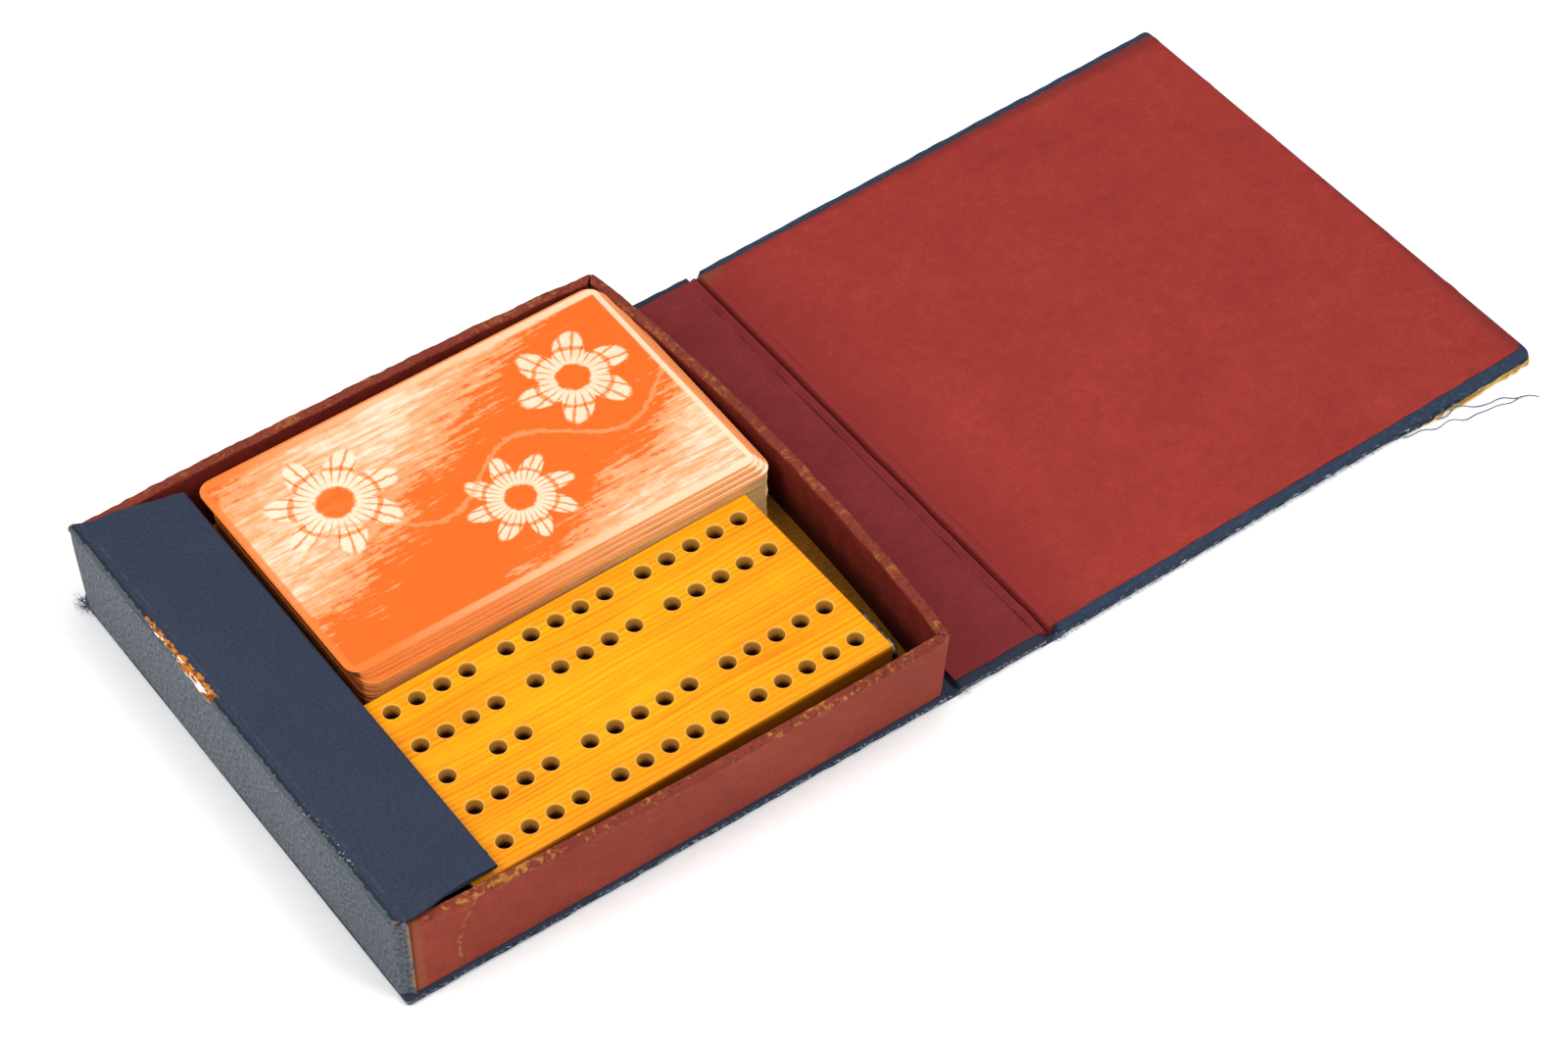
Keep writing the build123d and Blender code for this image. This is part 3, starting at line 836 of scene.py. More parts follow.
    @staticmethod
    def _drilled() -> bpy.types.Material:
        """Bare wood inside a peg hole, with a painted highlight at the lip and painted shade towards the bottom."""
        shade = Shade("drilled_wood")
        _, _, z = shade.axes(shade.object)
        rough = shade.noise(shade.object, 1.6, 3.0)
        # Painted highlight at the lip, painted shade deep in the hole.
        lip_highlight = z.rise(16.35, 16.70)
        depth_shade = (z + rough * 1.2 - 0.6).rise(15.6, 13.6)
        colour = shade.mix(depth_shade, (0.62, 0.30, 0.045), (0.055, 0.010, 0.002))
        colour = shade.mix(lip_highlight * 0.45, colour, (1.0, 0.55, 0.10))
        return shade.finish(colour, 0.6, rough, 0.05, specular=0.15)

    @staticmethod
    def _card_back() -> bpy.types.Material:
        """Generic back: three open rosettes on sweeping brushed bands, orange on cream."""
        look = CardFinish()
        shade = Shade("card_back_print")
        u, v, _ = shade.axes(shade.uv)
        ragged = shade.noise(shade.uv, 0.55, 6.0, 0.7) - 0.5
        brush = shade.noise(shade.stretch(shade.uv, (0.10, 0.9, 1.0), 0.5), 1.0, 5.0, 0.7)
        wash = shade.noise(shade.uv, 0.045, 4.0, 0.6)
        bands = (
            (u * 0.050 - v * 0.085 + ragged * 1.5 + 0.9).sin() * 0.42
            + wash * 0.9
            + (brush - 0.5) * 1.3
        )
        ink = bands.rise(-0.25, 0.42) * 0.5 + bands.rise(0.36, 0.60) * 0.5
        for cu, cv, radius, petals, turn in (
            (-25.0, 9.5, 14.0, 7, 0.3), (3.5, -9.5, 11.5, 8, 0.9), (28.0, 10.0, 12.5, 6, 0.1)
        ):
            du, dv = u - cu, v - cv
            spot = ((du * du + dv * dv) ** 0.5) / radius + ragged * 0.16
            angle = dv.math("ARCTAN2", du)
            lobe = ((angle * petals + turn + spot * 1.5).sin() * 0.5 + 0.5) ** 0.6
            petal = (lobe * 0.45 + 0.52 - spot).rise(-0.03, 0.06)
            vein = (
                (angle * (petals * 4.0) + spot * 3.0 + ragged * 3.0).sin().rise(0.55, 0.95)
                * spot.rise(0.25, 0.5)
            )
            heart = spot.rise(0.30, 0.24)
            ink = ink * (1.0 - petal * 0.93) + petal * vein * 0.55 + heart * 0.85
            ink = ink + spot.band(0.60, 0.02, 0.03) * petal * 0.5
        stems = ((u * 0.16).sin() * 5.0 - v + ragged * 3.0 - 1.0).band(0.0, 0.35, 0.5)
        ink = (ink * (1.0 - stems * 0.6) + stems * 0.25 + (brush - 0.5) * 0.35).clamp()
        colour = shade.ramp(ink, [(0.0, look.cream), (0.42, look.wash), (0.9, look.orange)])
        margin = (u.abs().rise(42.6, 43.2) + v.abs().rise(25.6, 26.2)).clamp()
        plain = shade.ramp(
            u / 90.0 + 0.5,
            [(0.10, (0.96, 0.20, 0.035)), (0.55, (0.95, 0.50, 0.27)), (0.95, (0.95, 0.70, 0.46))],
        )
        colour = shade.mix(margin * 0.85, colour, plain)
        rim = (u.abs().rise(43.9, 44.1) + v.abs().rise(27.45, 27.65)).clamp()
        colour = shade.mix(rim * 0.85, colour, (0.72, 0.17, 0.02))
        shadow = shade.noise(shade.uv, 0.5, 3.0).rise(0.60, 0.75)
        colour = shade.mix(shadow * ink * 0.15, colour, (0.80, 0.07, 0.01))
        return shade.finish(colour, 0.5, shade.noise(shade.uv, 3.0, 2.0), 0.008, specular=0.2)

    @staticmethod
    def _card_edge() -> bpy.types.Material:
        """Returns the cards' edges."""
        look = CardFinish()
        shade = Shade("card_edge")
        x, _, z = shade.axes(shade.object)
        layers = shade.noise(shade.vector(0.0, 0.0, z * 3.3), 1.0, 2.0)
        smear = shade.noise(shade.stretch(shade.object, (0.12, 0.12, 3.0)), 1.0, 4.0)
        tone = layers * 0.55 + smear * 0.45
        colour = shade.ramp(
            tone, [(0.36, look.edge_dark), (0.47, look.edge_mid), (0.60, look.edge_light)]
        )
        colour = shade.mix(x.rise(-45.0, -80.0) * 0.55, colour, (0.90, 0.22, 0.03))
        colour = shade.mix(x.rise(-40.0, -22.0) * 0.35, colour, (0.85, 0.66, 0.28))
        # The side next to the flap stands in a gap too narrow for light.
        left = float(cad_box("card_stack")[0][0]) + 1.4
        colour = shade.mix(x.rise(left, left - 0.4) * 0.85, colour, (0.05, 0.012, 0.008))
        return shade.finish(colour, 0.7, specular=0.2)

    @staticmethod
    def _steel() -> bpy.types.Material:
        """Returns scratched steel."""
        shade = Shade("dulled_steel")
        scratch = shade.noise(shade.stretch(shade.object, (0.4, 0.4, 4.0)), 1.0, 4.0)
        stain = shade.noise(shade.object, 0.6, 4.0)
        colour = shade.ramp(stain, [(0.40, (0.045, 0.035, 0.028)), (0.62, (0.17, 0.15, 0.13))])
        return shade.finish(colour, 0.32 + scratch * 0.25, scratch, 0.02, metallic=1.0)

    @staticmethod
    def _plain(name: str, colour: Colour, roughness: float) -> bpy.types.Material:
        """Returns a material of one colour."""
        shade = Shade(name)
        tone = 0.94 + shade.noise(shade.object, 0.4, 3.0) * 0.12
        return shade.finish(shade.tint(colour, tone), roughness, specular=0.2)


# ---------------------------------------------------------------------------------------------
# Mesh tools
# ---------------------------------------------------------------------------------------------


class Ripple:
    """Smooth repeatable waviness: a sum of cosine waves of seeded direction, length and phase."""

    def __init__(self, seed: int, wavelength: float, waves: int = 16) -> None:
        """Args: seed; wavelength, the mean one in mm; waves, how many are summed."""
        rng = np.random.default_rng(seed)
        angle = rng.uniform(0, 2 * math.pi, waves)
        pace = 2 * math.pi / wavelength * rng.uniform(0.55, 1.7, waves)
        self.kx, self.ky = pace * np.cos(angle), pace * np.sin(angle)
        self.phase = rng.uniform(0, 2 * math.pi, waves)
        self.norm = math.sqrt(2 / waves)

    def __call__(self, x: Array | float, y: Array | float = 0.0) -> Array:
        """Returns the height, about -1 to 1 for most points."""
        x, y = np.broadcast_arrays(np.asarray(x, float), np.asarray(y, float))
        waves = np.cos(x[..., None] * self.kx + y[..., None] * self.ky + self.phase)
        return waves.sum(-1) * self.norm


def smooth(t: Array | float) -> Array:
    """Returns the smooth step of t, held to 0 and 1 outside them."""
    t = np.clip(t, 0, 1)
    return t * t * (3 - 2 * t)


class Shell:
    """Collects the grids and polygons of one object and makes it."""

    def __init__(self) -> None:
        """Starts empty."""
        self.points: list[Array] = []
        self.faces: list[tuple[int, ...]] = []
        self.uvs: list[tuple[float, float]] = []
        self.paints: list[int] = []
        self.count = 0

    def add_points(self, points: Array) -> int:
        """Adds points in mm, as rows of three, and returns the first one's number."""
        start = self.count
        self.points.append(np.asarray(points, float).reshape(-1, 3))
        self.count += len(self.points[-1])
        return start

    def face(self, corners: Sequence[int], uvs: Sequence[Sequence[float]], paint: int = 0) -> None:
        """Adds one polygon with its UV corners and material number."""
        self.faces.append(tuple(int(c) for c in corners))
        self.uvs.extend((float(u), float(v)) for u, v in uvs)
        self.paints.append(paint)

    def loft(
        self,
        sections: Array,
        paint: int | Callable[[int], int] = 0,
        caps: bool = True,
        cap_paint: int = 0,
    ) -> None:
        """Skins closed cross-sections, stations by points by three, and caps both ends.

        UV is arc length in mm: u around the section and v along the stations.
        """
        rows, cols, _ = sections.shape
        start = self.add_points(sections)
        around = np.linalg.norm(
            np.diff(np.concatenate([sections, sections[:, :1]], 1), axis=1), axis=2
        )
        u = np.concatenate([[0], np.cumsum(around.mean(0))])
        along = np.linalg.norm(np.diff(sections, axis=0), axis=2)
        v = np.concatenate([[0], np.cumsum(along.mean(1))])
        for i in range(rows - 1):
            for j in range(cols):
                k = (j + 1) % cols
                a, b = start + i * cols, start + (i + 1) * cols
                number = paint(j) if callable(paint) else paint
                self.face(
                    (a + j, a + k, b + k, b + j),
                    ((u[j], v[i]), (u[j + 1], v[i]), (u[j + 1], v[i + 1]), (u[j], v[i + 1])),
                    number,
                )
        if caps:
            for row, backwards in ((0, True), (rows - 1, False)):
                ring = list(range(cols))
                ring = ring[::-1] if backwards else ring
                flat = [(sections[row, j, 0], sections[row, j, 2]) for j in ring]
                self.face([start + row * cols + j for j in ring], flat, cap_paint)

    def make(
        self,
        name: str,
        materials: Sequence[bpy.types.Material],
        body: Body | None,
        slot: str,
    ) -> bpy.types.Object:
        """Makes the object, smooth-shaded with sharp creases, and lets it ride on its body.

        Args: name; materials in the order of the paint numbers; body or None; slot, the
        record's slot.
        Returns: the object.
        """
        mesh = bpy.data.meshes.new(name)
        mesh.from_pydata((np.concatenate(self.points) * MM).tolist(), [], self.faces)
        layer = mesh.uv_layers.new(name="UVMap")
        layer.data.foreach_set("uv", np.array(self.uvs, np.float32).ravel())
        for material in materials:
            mesh.materials.append(material)
        mesh.polygons.foreach_set("material_index", np.array(self.paints, np.int32))
        mesh.polygons.foreach_set("use_smooth", np.ones(len(self.faces), bool))
        mesh.validate()
        mesh.update()
        obj = bpy.data.objects.new(name, mesh)
        bpy.context.scene.collection.objects.link(obj)
        self._face_outwards(obj)
        mesh.set_sharp_from_angle(angle=SHARP_ANGLE)
        if body is not None:
            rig.ride(obj, body.value)
        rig.slot(obj, slot)
        LOG.info("%s: %d faces", name, len(self.faces))
        return obj

    @staticmethod
    def _face_outwards(obj: bpy.types.Object) -> None:
        """Turns every face of the object outwards."""
        work = bmesh.new()
        work.from_mesh(obj.data)
        bmesh.ops.recalc_face_normals(work, faces=work.faces)
        work.to_mesh(obj.data)
        work.free()


def box_section(
    x: Array,
    z0: float | Array,
    z1: float | Array,
    r: float,
    steps: int = 4,
    sides: int = 3,
) -> Array:
    """Returns a rounded rectangle in X and Z, counted from the underside's low end, points by two.

    Args: x, increasing places along the flat faces; z0 and z1, underside and top; r, edge rounding.
    """
    x = np.asarray(x, float)
    z0, z1 = np.broadcast_to(z0, x.shape), np.broadcast_to(z1, x.shape)
    turn = np.linspace(0, math.pi / 2, steps + 1)[1:]
    under = np.stack([x, z0], 1)
    up_right = np.stack([x[-1] + r * np.sin(turn), z0[-1] + r * (1 - np.cos(turn))], 1)
    wall_z = np.linspace(z0[-1] + r, z1[-1] - r, sides + 2)[1:-1]
    wall_right = np.stack([np.full(sides, x[-1] + r), wall_z], 1)
    over_right = np.stack([x[-1] + r * np.cos(turn), z1[-1] - r + r * np.sin(turn)], 1)
    over_right = np.concatenate([[[x[-1] + r, z1[-1] - r]], over_right[:-1]])
    top = np.stack([x, z1], 1)[::-1]
    down_left = np.stack([x[0] - r * np.sin(turn), z1[0] - r * (1 - np.cos(turn))], 1)
    wall_left = np.stack(
        [np.full(sides, x[0] - r), np.linspace(z1[0] - r, z0[0] + r, sides + 2)[1:-1]], 1
    )
    in_left = np.stack([x[0] - r * np.cos(turn), z0[0] + r - r * np.sin(turn)], 1)
    in_left = np.concatenate([[[x[0] - r, z0[0] + r]], in_left[:-1]])
    return np.concatenate(
        [under, up_right, wall_right, over_right, top, down_left, wall_left, in_left]
    )


def rounded_ends(y: Array, r: float, steps: int = 4) -> tuple[Array, Array]:
    """Returns stations along y with rounding steps at both ends, and each one's inset."""
    turn = np.linspace(0, math.pi / 2, steps + 1)[:-1]
    low = y[0] + r - r * np.cos(turn)
    inset = r * (1 - np.sin(turn))
    middle = y[(y > y[0] + r) & (y < y[-1] - r)]
    stations = np.concatenate([low, [y[0] + r], middle, [y[-1] - r], (y[-1] - (low - y[0]))[::-1]])
    insets = np.concatenate([inset, np.zeros(len(middle) + 2), inset[::-1]])
    return stations, insets


@dataclass(frozen=True)
class Slab:
    """A flat panel with rounded edges, lofted along Y and then bent by a warp."""

    x: tuple[float, float]
    y: tuple[float, float]
    z: tuple[float, float]
    edge: float
    counts: tuple[int, int] = (70, 110)

    def sections(self, warp: Callable[[Array], Array] | None = None) -> Array:
        """Returns its sections, stations by points by three, after the warp."""
        stations, insets = rounded_ends(np.linspace(*self.y, self.counts[1]), self.edge)
        rows = []
        for y, inset in zip(stations, insets):
            x = np.linspace(self.x[0] + self.edge, self.x[1] - self.edge, self.counts[0])
            r = max(self.edge - inset, 0.02)
            flat = box_section(x, self.z[0] + inset, self.z[1] - inset, r)
            rows.append(np.column_stack([flat[:, 0], np.full(len(flat), y), flat[:, 1]]))
        points = np.array(rows)
        return warp(points) if warp else points


def corner_rounding(
    points: Array,
    x: tuple[float, float],
    y: tuple[float, float],
    radius: Sequence[float],
) -> Array:
    """Rounds the plan corners of points by pressing each corner's square onto a disc.

    Args: radius, for the corners near-low, near-high, far-low and far-high in X.
    """
    out = points.copy()
    for (sx, sy), r in zip(((-1, -1), (1, -1), (-1, 1), (1, 1)), radius):
        if r <= 0:
            continue
        cx = (x[1] - r) if sx > 0 else (x[0] + r)
        cy = (y[1] - r) if sy > 0 else (y[0] + r)
        a = np.clip((out[..., 0] - cx) * sx / r, 0, 1)
        b = np.clip((out[..., 1] - cy) * sy / r, 0, 1)
        inside = (a > 0) & (b > 0)
        na, nb = a * np.sqrt(1 - b * b / 2), b * np.sqrt(1 - a * a / 2)
        out[..., 0] = np.where(inside, cx + sx * na * r, out[..., 0])
        out[..., 1] = np.where(inside, cy + sy * nb * r, out[..., 1])
    return out


def hairs(
    seed: int,
    roots: Array,
    aim: Array,
    length: float,
    radius: float,
    bend: float,
    tips: int = 7,
) -> Shell:
    """Makes fine fibres as tapered three-sided tubes.

    Args: roots, one row per fibre in mm; aim, mean direction; length and radius in mm;
    bend, how far they curl.
    """
    rng = np.random.default_rng(seed)
    shell = Shell()
    for root in roots:
        way = np.array(aim) + rng.normal(0, 0.45, 3)
        way /= np.linalg.norm(way)
        side = np.cross(way, rng.normal(0, 1, 3))
        side /= np.linalg.norm(side)
        other = np.cross(way, side)
        reach = length * rng.uniform(0.4, 1.2)
        t = np.linspace(0, 1, tips)[:, None]
        wave = np.sin(t * rng.uniform(1.5, 5.0) + rng.uniform(0, 3))
        line = root + way * reach * t + side * bend * reach * wave * t
        line[:, 2] = np.maximum(line[:, 2], radius)  # none dips below the table
        thick = radius * (1 - 0.8 * t)
        ring = [line + thick * (side * math.cos(k) + other * math.sin(k)) for k in (0, 2.1, 4.2)]
        shell.loft(np.stack(ring, 1))
    return shell


# ---------------------------------------------------------------------------------------------
# Sub-assemblies
# ---------------------------------------------------------------------------------------------


@dataclass(frozen=True)
class CaseSizes:
    """Levels and places of the case, read from the CAD frame."""

    left: float
    tray_left: float
    tray_right: float
    base_end: float
    spine: tuple[float, float]
    cover: tuple[float, float]
    half: float
    panel: float
    rim: float
    floor: float

    @classmethod
    def from_frame(cls) -> "CaseSizes":
        """Returns the sizes measured on the CAD nodes."""
        base, paper = cad_box("base_cloth"), cad_box("tray_paper")
        spine, cover = cad_box("spine_cloth"), cad_box("cover_cloth")
        floor = cad_box("tray_floor")
        near = cad_box("tray_near_wall")
        return cls(
            left=base[0][0],
            tray_left=paper[0][0],
            tray_right=near[1][0] + 0.15,
            base_end=base[1][0],
            spine=(spine[0][0], spine[1][0]),
            cover=(cover[0][0], cover[1][0]),
            half=base[1][1],
            panel=base[1][2],
            rim=paper[1][2],
            floor=floor[1][2],
        )


@dataclass
class Panels:
    """Base, spine and cover: cloth-covered boards with their linings and the grooves between."""

    GROOVE_NEAR = 11.1
    GROOVE_FAR = 9.9
    COVER_CORNERS = ((129.4, -55.4), (125.4, 60.2))
    TURN_IN = 1.8
    THREAD_RADIUS = 0.13

    looks: Looks
    sizes: CaseSizes
    wave: Ripple = field(init=False, default_factory=lambda: Ripple(3, 60.0))
    fray: Ripple = field(init=False, default_factory=lambda: Ripple(5, 7.0))

    def build(self) -> None:
        """Makes all the panels."""
        self._base()
        self._spine()
        self._cover()
        self._groove()
        self._threads()

    def _groove_x(self, y: Array) -> Array:
        """Returns the groove's X: it runs slightly aslant from near to far."""
        share = (y + self.sizes.half) / (2 * self.sizes.half)
        return self.GROOVE_NEAR + (self.GROOVE_FAR - self.GROOVE_NEAR) * share

    def _edge_wear(self, points: Array, amount: float) -> Array:
        """Makes the near and far edges of a panel a little uneven."""
        out = points.copy()
        share = smooth((np.abs(points[..., 1]) - self.sizes.half + 3.0) / 3.0)
        out[..., 1] += amount * share * self.fray(points[..., 0], points[..., 2] * 2)
        return out

    def _base(self) -> None:
        """Makes the base's cloth."""
        s = self.sizes
        slab = Slab((s.left, s.base_end), (-s.half, s.half), (0.0, s.panel), 0.75, (90, 110))

        def warp(points: Array) -> Array:
            """Returns the points, moved to the real outline."""
            out = corner_rounding(points, (s.left, s.base_end), (-s.half, s.half), (0, 0, 4.0, 0))
            out = self._edge_wear(out, 0.06)
            near = smooth((-out[..., 1] - 50) / 6)
            out[..., 1] += near * 0.25 * smooth((out[..., 2] - 1.2) / 1.0)
            out[..., 2] = np.where(points[..., 2] > 1.5, out[..., 2] - 0.25, out[..., 2])
            return out

        shell = Shell()
        shell.loft(slab.sections(warp))
        obj = shell.make("base_cloth_look", [self.looks.cloth], Body.TRAY, "bookcloth")
        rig.replaces(obj, "base_cloth", "base_board")

    def _spine_warp(self, points: Array) -> Array:
        """Skews the spine so that its right side follows the groove."""
        out = points.copy()
        low, high = self.sizes.spine
        share = (points[..., 0] - low) / (high - low)
        target = self._groove_x(points[..., 1]) - 1.75
        out[..., 0] = points[..., 0] + share * (target - high)
        return out

    def _spine(self) -> None:
        """Makes the spine's cloth and lining."""
        s = self.sizes
        slab = Slab(s.spine, (-s.half + 0.2, s.half - 0.2), (0.0, s.panel), 0.6, (36, 110))
        shell = Shell()
        shell.loft(self._edge_wear(slab.sections(self._spine_warp), 0.06))
        obj = shell.make("spine_cloth_look", [self.looks.cloth], Body.SPINE, "bookcloth")
        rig.replaces(obj, "spine_cloth", "spine_board")
        inset = Slab(
            (s.spine[0], s.spine[1]),
            (-s.half + self.TURN_IN, s.half - self.TURN_IN),
            (s.panel - 0.12, s.panel + 0.16),
            0.05,
            (40, 150),
        )
        shell = Shell()

        def warp(points: Array) -> Array:
            """Returns the points, moved to the real outline."""
            out = self._spine_warp(points)
            out[..., 1] += (
                0.08
                * self.fray(points[..., 0] * 0.7, 0)
                * smooth((np.abs(points[..., 1]) - 50) / 5)
            )
            out[..., 2] += 0.05 * self.wave(points[..., 0] * 2, points[..., 1])
            return out

        shell.loft(inset.sections(warp))
        obj = shell.make("spine_lining_look", [self.looks.spine_lining], Body.SPINE, "lining_paper")
        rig.replaces(obj, "spine_lining")

    def _cover_warp(self, points: Array, x: tuple[float, float]) -> Array:
        """Maps the square cover onto its real, slightly skewed outline, bilinear in X and Y."""
        out = points.copy()
        a = (points[..., 0] - x[0]) / (x[1] - x[0])
        b = (points[..., 1] + self.sizes.half) / (2 * self.sizes.half)
        start = self._groove_x(points[..., 1]) + 1.75
        (near_x, near_y), (far_x, far_y) = self.COVER_CORNERS
        end = near_x + (far_x - near_x) * b
        out[..., 0] = start + (end - start) * a
        skew = near_y + (far_y - near_y) * b
        out[..., 1] = points[..., 1] + (skew - points[..., 1]) * a
        return out

    def _cover(self) -> None:
        """Makes the cover's cloth and lining."""
        s = self.sizes
        slab = Slab(s.cover, (-s.half, s.half), (0.0, s.panel), 0.75, (110, 130))

        def warp(points: Array) -> Array:
            """Returns the points, moved to the real outline."""
            out = corner_rounding(points, s.cover, (-s.half, s.half), (0, 2.2, 0, 1.6))
            out = self._edge_wear(out, 0.06)
            # Towards its near-right corner the edge has split and spread, most at the foot.
            split = smooth((out[..., 0] - 88) / 18) * smooth((-out[..., 1] - 55.3) / 2)
            low = 1 - out[..., 2] / s.panel
            out[..., 1] -= (
                split
                * (1.2 + 0.2 * self.fray(out[..., 0] * 2, 3.0))
                * (0.35 + 0.65 * low)
            )
            return self._cover_warp(out, s.cover)

        shell = Shell()
        shell.loft(warp(slab.sections()))
        obj = shell.make("cover_cloth_look", [self.looks.cloth_cover], Body.COVER, "bookcloth")
        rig.replaces(obj, "cover_cloth", "cover_board")
        lining = Slab(
            (s.cover[0], s.cover[1] - 0.5),
            (-s.half + self.TURN_IN, s.half - self.TURN_IN),
            (s.panel - 0.12, s.panel + 0.12),
            0.05,
            (150, 150),
        )
        shell = Shell()

        def lining_warp(points: Array) -> Array:
            """Returns the lining's points, moved to the real outline."""
            out = corner_rounding(points, lining.x, lining.y, (0, 2.0, 0, 1.4))
            out[..., 1] += (
                0.08
                * self.fray(points[..., 0] * 0.6, 0)
                * smooth((np.abs(points[..., 1]) - 50) / 5)
            )
            out[..., 0] += (
                0.08
                * self.fray(points[..., 1] * 0.6, 9.0)
                * smooth((points[..., 0] - 120) / 6)
            )
            out[..., 2] += 0.03 * self.wave(points[..., 0], points[..., 1])
            return self._cover_warp(out, s.cover)

        shell.loft(lining_warp(lining.sections()))
        obj = shell.make("cover_lining_look", [self.looks.cover_lining], Body.COVER, "lining_paper")
        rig.replaces(obj, "cover_lining")

    def _strip(
        self,
        offsets: Array,
        top: Array,
        under: Array,
        middle: Callable[[Array], Array],
        half: float,
    ) -> Array:
        """Returns sections of a hinge strip: offsets across it, its top and underside heights."""
        rows = []
        for y in np.linspace(-half, half, 220):
            x = middle(np.array(y)) + offsets
            ripple = 0.06 * self.fray(np.full(offsets.shape, y) * 0.6, offsets)
            upper = np.stack([x, np.full(x.shape, y), top + ripple * (top > 0.6)], 1)
            lower = np.stack([x, np.full(x.shape, y), under], 1)[::-1]
            rows.append(np.concatenate([upper, lower]))
        return np.array(rows)

    def _groove(self) -> None:
        """Makes the two cloth hinges: lining pressed down into the gap between two boards."""
        s = self.sizes
        offsets = np.linspace(-2.4, 2.4, 70)
        dip = (
            1.30 * np.exp(-((offsets / 0.40) ** 2))
            + 0.22 * np.exp(-(((offsets + 1.75) / 0.28) ** 2))
        )
        lips = (
            0.12 * np.exp(-(((np.abs(offsets) - 0.85) / 0.30) ** 2))
            + 0.12 * np.exp(-(((offsets - 2.0) / 0.25) ** 2))
        )
        top = s.panel + 0.20 - dip + lips
        under = np.full(offsets.shape, 0.25)
        half = s.half - self.TURN_IN + 0.1
        shell = Shell()
        # The strip's columns run along its top first; those past the middle are the cover's lining.
        shell.loft(
            self._strip(offsets, top, under, self._groove_x, half),
            lambda column: int(35 <= column < 70),
        )
        linings = [self.looks.spine_lining, self.looks.cover_lining]
        obj = shell.make("cover_joint_lining_look", linings, None, "lining_paper")
        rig.blend(obj, "spine", "cover", (0.0085, 0, 0.001), (0.0130, 0, 0.001))
        shell = Shell()
        cloth_top = np.full(offsets.shape, 0.3) + 1.7 * smooth((np.abs(offsets) - 0.9) / 0.8)
        shell.loft(
            self._strip(offsets, cloth_top, np.zeros(offsets.shape), self._groove_x, s.half - 0.2)
        )
        obj = shell.make("cover_joint_cloth_look", [self.looks.cloth], None, "bookcloth")
        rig.replaces(obj, "cover_joint_cloth")
        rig.blend(obj, "spine", "cover", (0.0085, 0, 0.001), (0.0130, 0, 0.001))
        low, high = s.base_end - 0.4, s.spine[0] + 0.4
        width = (high - low) / 2
        offsets = np.linspace(-width, width, 24)
        top = 0.55 + 1.4 * smooth((np.abs(offsets) - width + 0.9) / 0.9)
        shell = Shell()
        shell.loft(
            self._strip(
                offsets,
                top,
                np.zeros(offsets.shape),
                lambda y: (low + high) / 2 + 0 * y,
                s.half - 0.2,
            )
        )
        obj = shell.make("spine_joint_cloth_look", [self.looks.cloth], None, "bookcloth")
        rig.replaces(obj, "spine_joint_cloth")
        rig.blend(obj, "tray", "spine", (low * MM, 0, 0.0), (high * MM, 0, 0.0))

    def _threads(self) -> None:
        """Makes the loose threads and frayed tufts at the cover's near edge."""
        shell = Shell()
        for k, (start, end, sag) in enumerate(
            (((104.0, -57.0), (124.0, -63.6), 1.2), ((96.0, -56.6), (121.0, -62.2), -0.9))
        ):
            t = np.linspace(0, 1, 90)[:, None]
            line = np.array([start[0], start[1]]) * (1 - t) + np.array([end[0], end[1]]) * t
            wave = Ripple(20 + k, 7.0)(t[:, 0] * 26) * 0.45
            y = line[:, 1] + sag * np.sin(t[:, 0] * math.pi) + wave
            z = 0.45 + 0.35 * (1 + Ripple(30 + k, 9.0)(t[:, 0] * 26)) * 0.5
            path = np.stack([line[:, 0] + 0.3 * wave, y, z], 1)
            ring = [
                path + self.THREAD_RADIUS * np.array(
                    [0, math.cos(a), math.sin(a)]
                ) for a in np.linspace(0, 2 * math.pi, 7)[:-1]
            ]
            shell.loft(np.stack(ring, 1))
        shell.make("loose_threads", [self.looks.thread], Body.COVER, "bookcloth")
        rng = np.random.default_rng(7)
        x = rng.uniform(14.0, 127.0, 420)
        y = -57.75 + (x - 13.5) / 116.0 * 2.3
        roots = np.column_stack([x, y + rng.normal(0, 0.06, 420), rng.uniform(0.1, 0.9, 420)])
        hairs(6, roots, (0.3, -1.0, -0.1), 0.75, 0.035, 0.4, 4).make(
            "cover_edge_fuzz", [self.looks.thread], Body.COVER, "bookcloth"
        )
        rng = np.random.default_rng(8)
        roots = np.column_stack(
            [rng.normal(12.6, 0.7, 26), rng.normal(-57.4, 0.25, 26), rng.uniform(0.3, 2.0, 26)]
        )
        hairs(9, roots, (0.2, -1.0, 0.3), 1.6, 0.05, 0.25).make(
            "cover_corner_fibres", [self.looks.thread], Body.COVER, "bookcloth"
        )
        roots = np.column_stack(
            [rng.normal(-8.8, 0.9, 30), rng.normal(-57.4, 0.25, 30), rng.uniform(0.3, 2.0, 30)]
        )
        hairs(10, roots, (0.1, -1.0, 0.3), 1.7, 0.05, 0.25).make(
            "spine_corner_fibres", [self.looks.thread], Body.SPINE, "bookcloth"
        )


